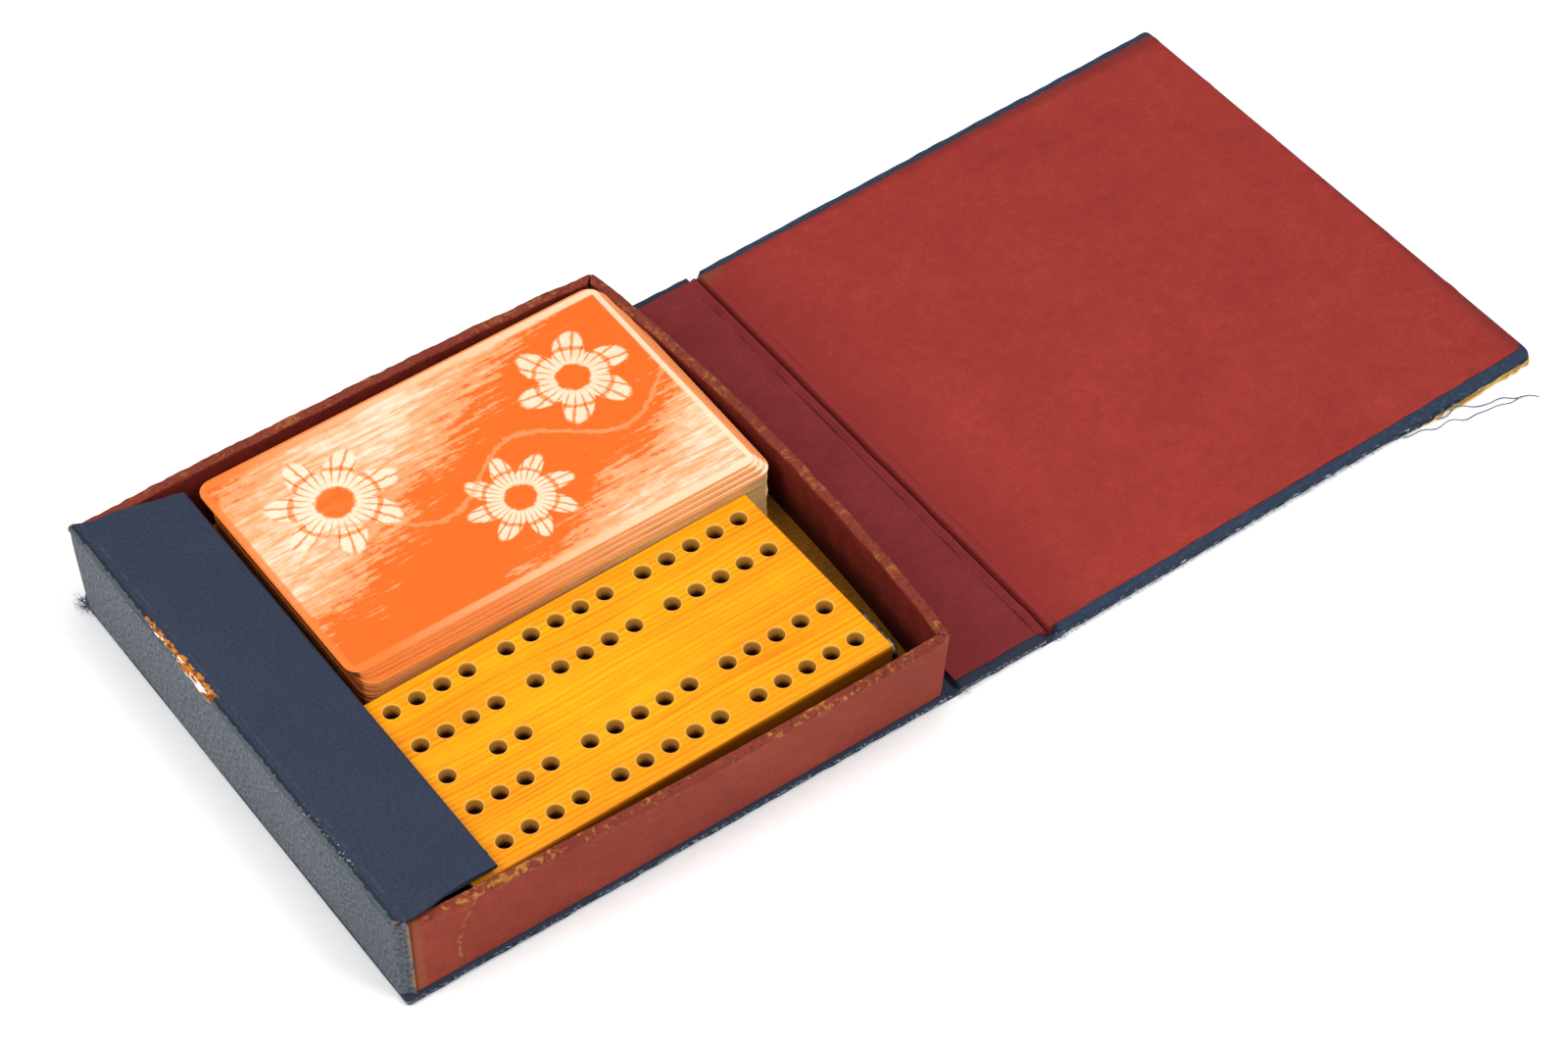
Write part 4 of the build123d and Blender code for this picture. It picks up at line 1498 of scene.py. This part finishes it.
@dataclass
class ForeEdgeFlap:
    """Fore-edge, fold and flap: one bookcloth over two boards."""

    NEAR_FOLD = (-128.3, -55.7)
    FAR_FOLD = (-127.6, 57.2)
    HALF = 56.0  # half the fold's width
    LENGTH = 20.7  # fold line to free edge

    looks: Looks
    sizes: CaseSizes
    wave: Ripple = field(init=False, default_factory=lambda: Ripple(41, 45.0))
    fine: Ripple = field(init=False, default_factory=lambda: Ripple(42, 9.0))
    bump: Ripple = field(init=False, default_factory=lambda: Ripple(43, 3.4))

    @staticmethod
    def fold_z(y: Array | float) -> Array:
        """Returns the fold's height: it stands higher at the near end."""
        return 21.93 - 0.0058 * np.asarray(y, float)

    def _top_line(self, y: float, count: int = 60) -> Array:
        """Returns the flap's top from fold to free edge at y, points of X and Z."""
        x0, x1 = self.sizes.left + 1.0, -107.2
        t = np.linspace(0, 1, count)
        x = x0 + (x1 - x0) * t
        z = self.fold_z(y) * (1 - t) + 19.35 * t + 0.35 * np.sin(math.pi * t)
        z = z + 0.05 * self.wave(x, y) * np.sin(math.pi * t)
        return np.stack([x, z], 1)

    def build(self) -> None:
        """Makes fore-edge cloth, fold and flap."""
        self._fore_edge()
        self._fold_and_flap()
        self._fibres()

    def _fore_edge(self) -> None:
        """Makes the cloth of the fore-edge."""
        s = self.sizes
        stations, insets = rounded_ends(np.linspace(-57.3, 56.2, 150), 0.7)
        rows = []
        for y, inset in zip(stations, insets):
            top = float(self.fold_z(y)) - 0.9
            z = np.linspace(0.75, top, 40)
            out = s.left + inset + 0.10 * self.wave(y, z * 1.5) * smooth(z / 4)
            outer = np.stack([out, np.full(z.shape, y), z], 1)
            foot = np.array(
                [
                    [s.left + inset + 0.22, y, 0.22],
                    [s.left + inset + 0.75, y, 0.0],
                    [s.tray_left - 0.02, y, 0.0],
                ]
            )
            inner = np.array([[s.tray_left - 0.02, y, top]])
            rows.append(np.concatenate([foot[::-1], outer, inner]))
        points = np.array(rows)
        # The near end face runs aslant: its inner corner stands nearer than its outer one.
        slant = (points[..., 0] - s.left) / s.panel
        near = smooth((-points[..., 1] - 50) / 6)
        points[..., 1] += near * (1 - slant) * 1.4
        # The far end draws in towards its foot, where the cloth has worn to a tuft.
        far = smooth((points[..., 1] - 48) / 9)
        points[..., 1] -= far * 2.2 * smooth(1 - points[..., 2] / 18)
        shell = Shell()
        shell.loft(points)
        obj = shell.make("fore_edge_cloth_look", [self.looks.cloth_left], Body.TRAY, "bookcloth")
        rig.replaces(obj, "fore_edge_cloth", "fore_edge_board")

    def _fold_section(self, y: float) -> Array:
        """Returns the closed section of fold and flap at y."""
        s = self.sizes
        fold = float(self.fold_z(y))
        turn = np.linspace(0, math.pi / 2, 9)
        r = 0.9
        bend = np.stack([s.left + r - r * np.cos(turn), fold - r + r * np.sin(turn)], 1)
        top = self._top_line(y)[1:]
        free = top[-1]
        tip = np.array(
            [
                [free[0] + 0.32, free[1] - 0.35],
                [free[0] + 0.36, free[1] - 1.1],
                [free[0] + 0.25, free[1] - 1.8],
                [free[0] - 0.2, free[1] - 2.1],
            ]
        )
        below = top[(top[:, 0] > s.left + 5.4)][::-1] - np.array([0, 2.15])
        start = below[-1]
        thin = (
            top[(top[:, 0] > s.left + 2.6) & (top[:, 0] < s.left + 4.6)][::-1]
            - np.array([0, 0.55])
        )
        inner = np.array(
            [[s.left + 2.25, fold - 0.75], [s.left + 2.2, fold - 1.5], [s.left + 0.1, fold - 1.5]]
        )
        step = np.array([[start[0] - 0.35, start[1] + 0.25], [start[0] - 0.5, start[1] + 0.9]])
        return np.concatenate([bend, top, tip, below, step, thin, inner])

    def _fold_and_flap(self) -> None:
        """Makes the fold and the flap as one skin."""
        s = self.sizes
        rows = []
        stations, insets = rounded_ends(np.linspace(-1.0, 1.0, 260), 0.008, 4)
        for v, inset in zip(stations, insets / 0.008):
            section = self._fold_section(v * self.HALF)
            t = np.clip((section[:, 0] - s.left - 1.0) / self.LENGTH, 0, 1)
            near = -56.1 + 2.45 * t
            far = 56.3 - 3.5 * t
            y = near + (far - near) * (v + 1) / 2
            y = y + 0.12 * self.fine(section[:, 0], v * 50) * smooth((abs(v) - 0.93) / 0.07)
            middle = section[:, 1].mean()
            z = section[:, 1] + 0.35 * inset * np.sign(middle - section[:, 1]) * 0.4
            # The ends are pressed thin where they lie over the tray's rims.
            line = self._top_line(v * self.HALF)
            above = np.interp(section[:, 0], line[:, 0], line[:, 1])
            thin = 0.62 * smooth((np.abs(y) - 52.6) / 1.2) * (section[:, 0] > s.left + 4.8)
            z = z + np.maximum(above - z, 0) * thin
            z = z - 0.8 * smooth((np.abs(y) - 50) / 5) * np.exp(-(((t - 0.18) / 0.16) ** 2))
            fold = (
                np.exp(-(((section[:, 0] - s.left - 0.5) / 1.3) ** 2))
                * (section[:, 1] > section[:, 1].max() - 2.0)
            )
            z = z + 0.03 * fold * self.bump(y, section[:, 0])
            x = section[:, 0] + 0.08 * fold * self.bump(y + 50, section[:, 0])
            rows.append(np.stack([x, y, z], 1))
        shell = Shell()
        shell.loft(np.array(rows))
        obj = shell.make("flap_cloth_look", [self.looks.cloth_flap], None, "bookcloth")
        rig.replaces(obj, "flap_joint_cloth", "flap_cloth", "flap_board")
        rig.blend(obj, "tray", "flap", (-0.1285, 0, 0.0), (-0.1248, 0, 0.0))

    def _fibres(self) -> None:
        """Makes the tuft at the far corner's foot and the tan tips on the fold."""
        rng = np.random.default_rng(17)
        s = self.sizes
        roots = np.column_stack(
            [
                rng.normal(s.left - 0.1, 0.1, 40),
                rng.normal(54.2, 0.7, 40),
                rng.uniform(0.1, 3.0, 40),
            ]
        )
        hairs(18, roots, (-0.7, 0.6, 0.1), 2.3, 0.09, 0.5).make(
            "fore_edge_tuft", [self.looks.thread], Body.TRAY, "bookcloth"
        )
        fold = float(self.fold_z(57.0))
        roots = np.column_stack(
            [
                rng.normal(s.left + 0.7, 0.4, 26),
                rng.normal(56.0, 0.15, 26),
                rng.normal(fold - 0.3, 0.15, 26),
            ]
        )
        near = float(self.fold_z(-56.0))
        more = np.column_stack(
            [
                rng.normal(s.left + 0.9, 0.5, 26),
                rng.normal(-55.8, 0.15, 26),
                rng.normal(near - 0.3, 0.15, 26),
            ]
        )
        hairs(
            19, np.concatenate([roots[:12], more[:14]]), (0.0, 0.1, 0.5), 0.7, 0.06, 0.3
        ).make("fold_tip_fibres", [self.looks.fibre], Body.TRAY, "strawboard")


@dataclass
class Tray:
    """The papered tray walls, bowed and leaning as the real ones are, on a bare floor."""

    THICK = 2.2
    CORNER = 0.9
    INNER_STEPS = 20

    looks: Looks
    sizes: CaseSizes
    foot: Array = field(init=False)
    top: Array = field(init=False)
    rough: Ripple = field(init=False, default_factory=lambda: Ripple(60, 3.2))
    slow: Ripple = field(init=False, default_factory=lambda: Ripple(61, 22.0))

    def __post_init__(self) -> None:
        """Works out the tray's corners at its foot and its rim."""
        s = self.sizes
        left, right, half = s.tray_left, s.tray_right, 57.0
        self.foot = np.array([(left, -half), (right, -half), (right, half), (left, half)])
        self.top = np.array(
            [(left + 0.3, -56.5), (right + 0.4, -58.7), (right - 1.4, 55.2), (left + 0.1, 57.1)]
        )

    def build(self) -> None:
        """Makes the four walls and the floor's look."""
        names = ("near", "right", "far", "left")
        bows = ((0.2, 1.5), (3.3, 3.6), (0.0, 1.2), (0.0, 0.0))
        for k, (name, bow) in enumerate(zip(names, bows)):
            shell = Shell()
            wall = self._wall(k, bow)
            inside = wall.shape[1] - self.INNER_STEPS
            shell.loft(
                wall,
                lambda column, first=inside: 2
                * int(first - 1 <= column < first + self.INNER_STEPS - 1),
            )
            if name == "right":
                shell.loft(self._floor_strip(bow[0]), 1, cap_paint=1)
            # The third paper, on the walls' inner faces, is the wall paper's copy darkened as painted shade.
            papers = [self.looks.tray_paper, self.looks.strawboard, self.looks.inner_paper]
            obj = shell.make(f"tray_{name}_wall_look", papers, Body.TRAY, "tray_paper")
            nodes = [f"tray_{name}_wall"] + (["tray_paper"] if name == "near" else [])
            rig.replaces(obj, *nodes)
            if name == "right":
                anchor = (self.sizes.tray_right * MM, 0, 0)
                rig.squash(obj, "spine_hinge", axis=(1, 0, 0), anchor=anchor, keep=0.3)
        self._fibres()

    def _floor_strip(self, bow: float) -> Array:
        """Returns the floor's edge that follows the foot of the bowed wall."""
        s = self.sizes
        rows = []
        for y in np.linspace(-54.7, 54.7, 60):
            t = (y + 57.0) / 114.0
            end = s.tray_right - self.THICK + 0.4 + bow * math.sin(math.pi * t) ** 0.7
            start, top = s.tray_right - 6.0, s.floor + 0.02
            corners = ((start, top), (end, top), (end, s.panel + 0.1), (start, s.panel + 0.1))
            rows.append([(x, y, z) for x, z in corners])
        return np.array(rows)

    def _wall(self, k: int, bow: tuple[float, float]) -> Array:
        """Returns the sections of wall k, from corner k on; bow is given at foot and rim."""
        s = self.sizes
        a0, b0 = self.foot[k], self.foot[(k + 1) % 4]
        a1, b1 = self.top[k], self.top[(k + 1) % 4]
        length = float(np.linalg.norm(b0 - a0))
        arc = np.linspace(math.radians(45), 0, 6)
        c, w = self.CORNER, self.THICK
        outer_along = np.concatenate(
            [
                c - c * np.sin(arc),
                np.linspace(c, length - c, 200)[1:-1],
                length - c + c * np.sin(arc[::-1]),
            ]
        )
        outer_in = np.concatenate([c - c * np.cos(arc), np.zeros(198), c - c * np.cos(arc[::-1])])
        inner_along = np.clip(outer_along, w, length - w)
        inner_in = np.full(outer_along.shape, w)
        r = 0.55
        turn = np.linspace(0, math.pi / 2, 6)
        z0, z1 = s.panel - 0.25, s.rim
        depth = np.concatenate(
            [
                np.zeros(26),
                r / w * (1 - np.cos(turn))[1:],
                np.linspace(r / w, 1 - r / w, 6)[1:-1],
                1 - r / w * (1 - np.sin(turn))[:-1],
                np.ones(self.INNER_STEPS),
            ]
        )
        z = np.concatenate(
            [
                np.linspace(z0, z1 - r, 26),
                (z1 - r + r * np.sin(turn))[1:],
                np.full(4, z1),
                (z1 - r + r * np.cos(turn))[:-1],
                np.linspace(z1 - r, s.floor - 0.4, self.INNER_STEPS),
            ]
        )
        rows = []
        for oa, oi, ia, ii in zip(outer_along, outer_in, inner_along, inner_in):
            along = oa + (ia - oa) * depth
            inward = oi + (ii - oi) * depth
            t = along / length
            lift = np.clip((z - s.panel) / (s.rim - s.panel), 0, 1)
            base = a0 + (b0 - a0) * t[:, None]
            rim = a1 + (b1 - a1) * t[:, None]
            way = (b0 - a0) / length
            out = np.array([way[1], -way[0]])
            swell = (bow[0] + (bow[1] - bow[0]) * lift) * np.sin(math.pi * np.clip(t, 0, 1)) ** 0.7
            plan = base + (rim - base) * lift[:, None] + out * (swell - inward)[:, None]
            near_rim = smooth((z - z1 + 1.6) / 1.4)
            mid = smooth(np.minimum(oa, length - oa) / 4)
            jag = (
                near_rim
                * (
                    0.045 * self.rough(
                        along, depth * 3 + k * 9
                    ) + 0.06 * self.slow(along + 40 * k, 0)
                )
            )
            plan = plan + out * (jag * 0.5 * mid)[:, None]
            rows.append(np.column_stack([plan, z + jag * 0.9 - 0.1 * near_rim]))
        return np.array(rows)

    def _fibres(self) -> None:
        """Makes torn paper fibres on the near-right corner."""
        rng = np.random.default_rng(71)
        corner = self.top[1]
        roots = np.column_stack(
            [
                rng.normal(corner[0] - 0.9, 0.7, 60),
                rng.normal(corner[1] + 1.2, 0.7, 60),
                rng.normal(self.sizes.rim - 0.3, 0.12, 60),
            ]
        )
        hairs(72, roots, (-0.1, -0.3, 0.2), 0.6, 0.07, 0.3).make(
            "tray_corner_fibres", [self.looks.fibre], Body.TRAY, "strawboard"
        )


@dataclass
class CribbageBoard:
    """The drilled wooden board: exact holes with softened lips, as quads around each hole."""

    ROWS = (-18.03, -8.63, 0.0, 8.63, 18.03)
    PITCH = 5.4
    GROUP = 30.04
    SIZE = (90.8, 45.5, 12.5)
    SHIFT = 0.4
    HOLE = 1.6
    DEPTH = 3.8

    looks: Looks
    centre: Array = field(init=False)
    base: float = field(init=False)
    turn: float = field(init=False)

    def __post_init__(self) -> None:
        """Takes the board's place from its CAD box."""
        low, high = cad_box("cribbage_board")
        self.centre = (low + high) / 2
        self.base = low[2]
        self.turn = math.radians(0.92)

    def build(self) -> None:
        """Makes the board, and gives the CAD plate and screw their steel."""
        self._board()
        for node in ("peg_plate", "peg_plate_screw"):
            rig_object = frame["nodes"][node]
            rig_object.data.materials.clear()
            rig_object.data.materials.append(self.looks.steel)
            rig.slot(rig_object, "steel")

    def _place(self, points: Array) -> Array:
        """Turns local points about Z into place."""
        c, s = math.cos(self.turn), math.sin(self.turn)
        out = np.empty_like(points)
        out[..., 0] = self.centre[0] + points[..., 0] * c - points[..., 1] * s
        out[..., 1] = self.centre[1] + points[..., 0] * s + points[..., 1] * c
        out[..., 2] = self.base + points[..., 2]
        return out

    def _has_hole(self, column: int, row: int) -> bool:
        """Says whether the lattice cell holds a hole: the middle row has two pairs only."""
        return row != 2 or column in (0, 1, 3, 4)

    def _board(self) -> None:
        """Makes the drilled board."""
        length, width, thick = self.SIZE
        columns = [g * self.GROUP + j * self.PITCH for g in (-1, 0, 1) for j in (-2, -1, 0, 1, 2)]
        rows = [y + self.SHIFT for y in self.ROWS]
        r, cell = 0.35, 2.35
        xs = sorted(
            [-length / 2 + r, length / 2 - r] + [c + k for c in columns for k in (-cell, cell)]
        )
        ys = sorted([-width / 2 + r, width / 2 - r] + [c + k for c in rows for k in (-cell, cell)])
        shell = Shell()
        nx, ny = len(xs), len(ys)
        grid = np.array([[(x, y, thick) for y in ys] for x in xs])
        start = shell.add_points(self._place(grid))

        def at(i: int, j: int) -> int:
            """Returns the index of one grid point."""
            return start + i * ny + j

        for i in range(nx - 1):
            for j in range(ny - 1):
                corners = ((i, j), (i + 1, j), (i + 1, j + 1), (i, j + 1))
                centre = ((xs[i] + xs[i + 1]) / 2, (ys[j] + ys[j + 1]) / 2)
                hole = [
                    (c, q)
                    for c, x in enumerate(columns)
                    for q, y in enumerate(rows)
                    if abs(x - centre[0]) < 0.01 and abs(y - centre[1]) < 0.01
                ]
                if hole and self._has_hole(*hole[0]):
                    self._hole(
                        shell,
                        centre,
                        [at(*c) for c in corners],
                        [(xs[a], ys[b]) for a, b in corners],
                        thick,
                    )
                else:
                    shell.face([at(*c) for c in corners], [(xs[a], ys[b]) for a, b in corners])
        border = [(i, 0) for i in range(nx)] + [(nx - 1, j) for j in range(1, ny)] + [
            (i, ny - 1) for i in range(nx - 2, -1, -1)
        ] + [(0, j) for j in range(ny - 2, 0, -1)]
        self._sides(
            shell,
            [at(*b) for b in border],
            np.array([(xs[i], ys[j]) for i, j in border]),
            length,
            width,
            thick,
            r,
        )
        obj = shell.make(
            "cribbage_board_look",
            [self.looks.wood, self.looks.drilled],
            Body.BOARD,
            "varnished_wood",
        )
        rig.replaces(obj, "cribbage_board")

    def _sides(
        self,
        shell: Shell,
        ring: list[int],
        plan: Array,
        length: float,
        width: float,
        thick: float,
        r: float,
    ) -> None:
        """Adds the rounded top edge, the sides and the underside below the top's border."""
        half = np.array([length / 2 - r, width / 2 - r])
        out = np.where(np.isclose(np.abs(plan), half, atol=1e-6), np.sign(plan), 0.0)
        levels = [
            (
                r * math.sin(a), thick - r + r * math.cos(a)
            ) for a in np.linspace(0, math.pi / 2, 6)[1:]
        ]
        levels += [(r, z) for z in np.linspace(thick - r, r, 8)[1:]]
        levels += [
            (r * math.cos(a), r - r * math.sin(a)) for a in np.linspace(0, math.pi / 2, 5)[1:]
        ]
        last, last_plan = ring, plan
        for reach, z in levels:
            place = plan + out * reach
            first = shell.add_points(self._place(np.column_stack([place, np.full(len(plan), z)])))
            now = [first + k for k in range(len(plan))]
            count = len(plan)
            for k in range(count):
                m = (k + 1) % count
                shell.face(
                    (last[k], last[m], now[m], now[k]),
                    (last_plan[k], last_plan[m], place[m], place[k]),
                )
            last, last_plan = now, place
        shell.face(last[::-1], last_plan[::-1])

    def _hole(
        self,
        shell: Shell,
        centre: tuple[float, float],
        corners: list[int],
        plan: list[tuple[float, float]],
        thick: float,
    ) -> None:
        """Adds one hole: a fan from its cell's corners, the lip, the wall and a drilled cone."""
        n = 40
        angle = np.linspace(0, 2 * math.pi, n + 1)[:-1] - 3 * math.pi / 4
        ring_xy = np.stack([np.cos(angle), np.sin(angle)], 1)
        levels = [
            (self.HOLE + 0.28, thick),
            (self.HOLE + 0.12, thick - 0.05),
            (self.HOLE + 0.02, thick - 0.2),
            (self.HOLE, thick - 0.5),
        ]
        levels += [
            (self.HOLE, z) for z in np.linspace(thick - 1.2, thick - self.DEPTH, 4)
        ] + [(0.5, thick - self.DEPTH - 0.7)]
        loops = []
        for radius, z in levels:
            xy = ring_xy * radius + np.array(centre)
            first = shell.add_points(self._place(np.column_stack([xy, np.full(n, z)])))
            loops.append(([first + k for k in range(n)], xy))
        quarter = n // 4
        ids, xy = loops[0]
        for q in range(4):
            for k in range(q * quarter - quarter // 2, q * quarter + quarter // 2):
                a, b = k % n, (k + 1) % n
                shell.face((corners[q], ids[b], ids[a]), (plan[q], xy[b], xy[a]))
            a = (q * quarter + quarter // 2) % n
            m = (q + 1) % 4
            shell.face((corners[q], corners[m], ids[a]), (plan[q], plan[m], xy[a]))
        for (low, lxy), (high, hxy) in zip(loops, loops[1:]):
            for k in range(n):
                m = (k + 1) % n
                shell.face((low[k], low[m], high[m], high[k]), (lxy[k], lxy[m], hxy[m], hxy[k]), 1)
        shell.face(loops[-1][0], loops[-1][1], 1)


@dataclass
class Deck:
    """The cards: a block of separate leaves and six fanned cards on top."""

    RADIUS = 3.3
    LENGTH = 88.9
    WIDTH = 56.0
    # How far each loose card, from the lowest up, has slid out of the block, as a share.
    FAN = (0.98, 0.70, 0.64, 0.36, 0.28, 0.0)
    FAN_SHIFT = (1.90, -2.05, 0)  # mm for a whole share
    FAN_TURN = -0.55  # degrees for a whole share

    looks: Looks

    def build(self) -> None:
        """Makes the block and the loose cards."""
        self._block()
        top = cad_box("loose_card_6")
        for number, share in enumerate(self.FAN, 1):
            low, high = cad_box(f"loose_card_{number}")
            centre = (top[0] + top[1]) / 2 + np.array(self.FAN_SHIFT) * share
            shell = Shell()
            self._card(
                shell,
                centre[0],
                centre[1],
                low[2] + 0.01,
                high[2] - 0.02,
                self.FAN_TURN * share,
                90,
            )
            obj = shell.make(
                f"loose_card_{number}_look",
                [self.looks.card_edge, self.looks.card_back],
                Body.DECK,
                "card_stock",
            )
            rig.replaces(obj, f"loose_card_{number}")

    def _card(
        self,
        shell: Shell,
        cx: float,
        cy: float,
        z0: float,
        z1: float,
        turn: float,
        stations: int,
    ) -> None:
        """Adds one card: sections across X at stations along Y, narrowed round the corners.

        Args: turn is in degrees.
        """
        r, half_l, half_w = self.RADIUS, self.LENGTH / 2, self.WIDTH / 2
        ease = r * (1 - np.cos(np.linspace(0, math.pi / 2, 10)))
        body = np.linspace(-half_w + r, half_w - r, stations)
        ys = np.concatenate([-half_w + ease[:-1], body, (half_w - ease[:-1])[::-1]])
        c, s = math.cos(math.radians(turn)), math.sin(math.radians(turn))
        rows = []
        count = 24 if stations > 20 else 6
        for y in ys:
            d = max(r - (half_w - abs(y)), 0.0)
            reach = half_l - (r - math.sqrt(max(r * r - d * d, 0.0)))
            x = np.linspace(-reach, reach, count)
            top = np.stack([x, np.full(count, y), np.full(count, z1)], 1)
            under = np.stack([x, np.full(count, y), np.full(count, z0)], 1)[::-1]
            rows.append(np.concatenate([top, under]))
        local = np.array(rows)
        points = local.copy()
        points[..., 0] = cx + local[..., 0] * c - local[..., 1] * s
        points[..., 1] = cy + local[..., 0] * s + local[..., 1] * c
        start = shell.add_points(points)
        cols = 2 * count
        for i in range(len(ys) - 1):
            for j in range(cols):
                k = (j + 1) % cols
                quad = (
                    start + i * cols + j,
                    start + i * cols + k,
                    start + (i + 1) * cols + k,
                    start + (i + 1) * cols + j,
                )
                flat = ((i, j), (i, k), (i + 1, k), (i + 1, j))
                printed = j < count - 1 or count <= j < cols - 1
                shell.face(
                    quad, [(local[a, b, 0], local[a, b, 1]) for a, b in flat], 1 if printed else 0
                )
        for row in (0, len(ys) - 1):
            shell.face(
                [start + row * cols + j for j in range(cols)],
                [(local[row, j, 0], local[row, j, 2]) for j in range(cols)],
                0,
            )

    def _block(self) -> None:
        """Makes the block of cards."""
        low, high = cad_box("card_stack")
        count = 46
        pitch = (high[2] - low[2]) / count
        centre = (low + high) / 2 + np.array([0.75, -0.15, 0])
        rng = np.random.default_rng(91)
        shell = Shell()
        slide = np.cumsum(rng.normal(0, 0.03, (count, 2)), 0)
        slide -= slide.mean(0)
        for k in range(count):
            jitter = np.clip(slide[k] + rng.normal(0, 0.06, 2), -0.25, 0.25)
            z = low[2] + k * pitch
            self._card(
                shell,
                centre[0] + jitter[0],
                centre[1] + jitter[1],
                z,
                z + pitch * 0.86,
                rng.normal(0, 0.05),
                6,
            )
        obj = shell.make(
            "card_stack_look", [self.looks.card_edge, self.looks.card_back], Body.DECK, "card_stock"
        )
        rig.replaces(obj, "card_stack")


@dataclass
class Studio:
    """Floor, light and camera."""

    TARGET = (-12.056, -4.606, 0.0)
    DISTANCE = 904.754
    AZIMUTH = -34.177
    ELEVATION = 48.833
    ROLL = -1.367
    LENS = 110.02

    looks: Looks

    def build(self) -> None:
        """Makes the whole set."""
        self._floor()
        self._world()
        # Two lamps stand either side of the camera: each peg hole shows both their shadows.
        self._area("left", (-470, 20, 500), (-20, 0, 0), 300, 1.7)
        self._area("right", (170, -430, 640), (0, 0, 0), 320, 2.6)
        self._area("top", (60, 120, 800), (40, 0, 0), 600, 2.2)
        self._camera()
        bpy.context.scene.view_settings.view_transform = "Standard"

    def _floor(self) -> None:
        """Makes the table."""
        reach = 3500.0
        shell = Shell()
        first = shell.add_points(
            np.array(
                [
                    (-reach, -reach, -0.05),
                    (reach, -reach, -0.05),
                    (reach, reach, -0.05),
                    (-reach, reach, -0.05),
                ]
            )
        )
        shell.face([first + k for k in range(4)], [(0, 0), (1, 0), (1, 1), (0, 1)])
        mesh = bpy.data.meshes.new("floor")
        mesh.from_pydata((np.concatenate(shell.points) * MM).tolist(), [], shell.faces)
        mesh.materials.append(self.looks.floor)
        obj = bpy.data.objects.new("floor", mesh)
        bpy.context.scene.collection.objects.link(obj)
        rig.stage(obj)

    @staticmethod
    def _world() -> None:
        """Sets the surrounding light."""
        world = bpy.data.worlds.new("studio")
        world.use_nodes = True
        background = world.node_tree.nodes["Background"]
        background.inputs["Color"].default_value = (1.0, 1.0, 1.0, 1.0)
        background.inputs["Strength"].default_value = 0.42
        bpy.context.scene.world = world

    @staticmethod
    def _area(
        name: str,
        place: Sequence[float],
        aim: Sequence[float],
        size: float,
        power: float,
    ) -> None:
        """Adds one area light."""
        light = bpy.data.lights.new(name, "AREA")
        light.size = size * MM
        light.energy = power
        obj = bpy.data.objects.new(name, light)
        position = Vector(place) * MM
        obj.location = position
        obj.rotation_euler = (Vector(aim) * MM - position).to_track_quat("-Z", "Y").to_euler()
        bpy.context.scene.collection.objects.link(obj)

    def _camera(self) -> None:
        """Adds the camera."""
        a, e, roll = (math.radians(v) for v in (self.AZIMUTH, self.ELEVATION, self.ROLL))
        back = Vector((math.sin(a) * math.cos(e), -math.cos(a) * math.cos(e), math.sin(e)))
        right = Vector((math.cos(a), math.sin(a), 0.0))
        up = back.cross(right)
        r = right * math.cos(roll) + up * math.sin(roll)
        u = up * math.cos(roll) - right * math.sin(roll)
        camera = bpy.data.cameras.new("camera")
        camera.lens = self.LENS
        camera.sensor_width = 36.0
        camera.clip_end = 20.0
        obj = bpy.data.objects.new("camera", camera)
        place = (Vector(self.TARGET) + back * self.DISTANCE) * MM
        turn = Matrix((r, u, back)).transposed().to_4x4()
        obj.matrix_world = Matrix.Translation(place) @ turn
        bpy.context.scene.collection.objects.link(obj)
        bpy.context.scene.camera = obj


def dress(nodes: Iterable[str], material: bpy.types.Material, slot: str) -> None:
    """Gives CAD nodes that stay in view their material."""
    for name in nodes:
        node = frame["nodes"][name]
        node.data.materials.clear()
        node.data.materials.append(material)
        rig.slot(node, slot)


def main() -> None:
    """Builds the looks around the frame."""
    logging.basicConfig(level=logging.INFO)
    looks = Looks()
    sizes = CaseSizes.from_frame()
    Panels(looks, sizes).build()
    ForeEdgeFlap(looks, sizes).build()
    Tray(looks, sizes).build()
    CribbageBoard(looks).build()
    Deck(looks).build()
    Studio(looks).build()
    dress(["tray_floor"], looks.strawboard, "strawboard")
    dress(["flap_lining"], looks.spine_lining, "lining_paper")
    low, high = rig.bounds()
    boxes = {"cad": [list(CAD_LOW), list(CAD_HIGH)], "visual": [list(low), list(high)]}
    with open("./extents.json", "w") as out:
        json.dump(boxes, out)


if __name__ == "__main__":
    main()
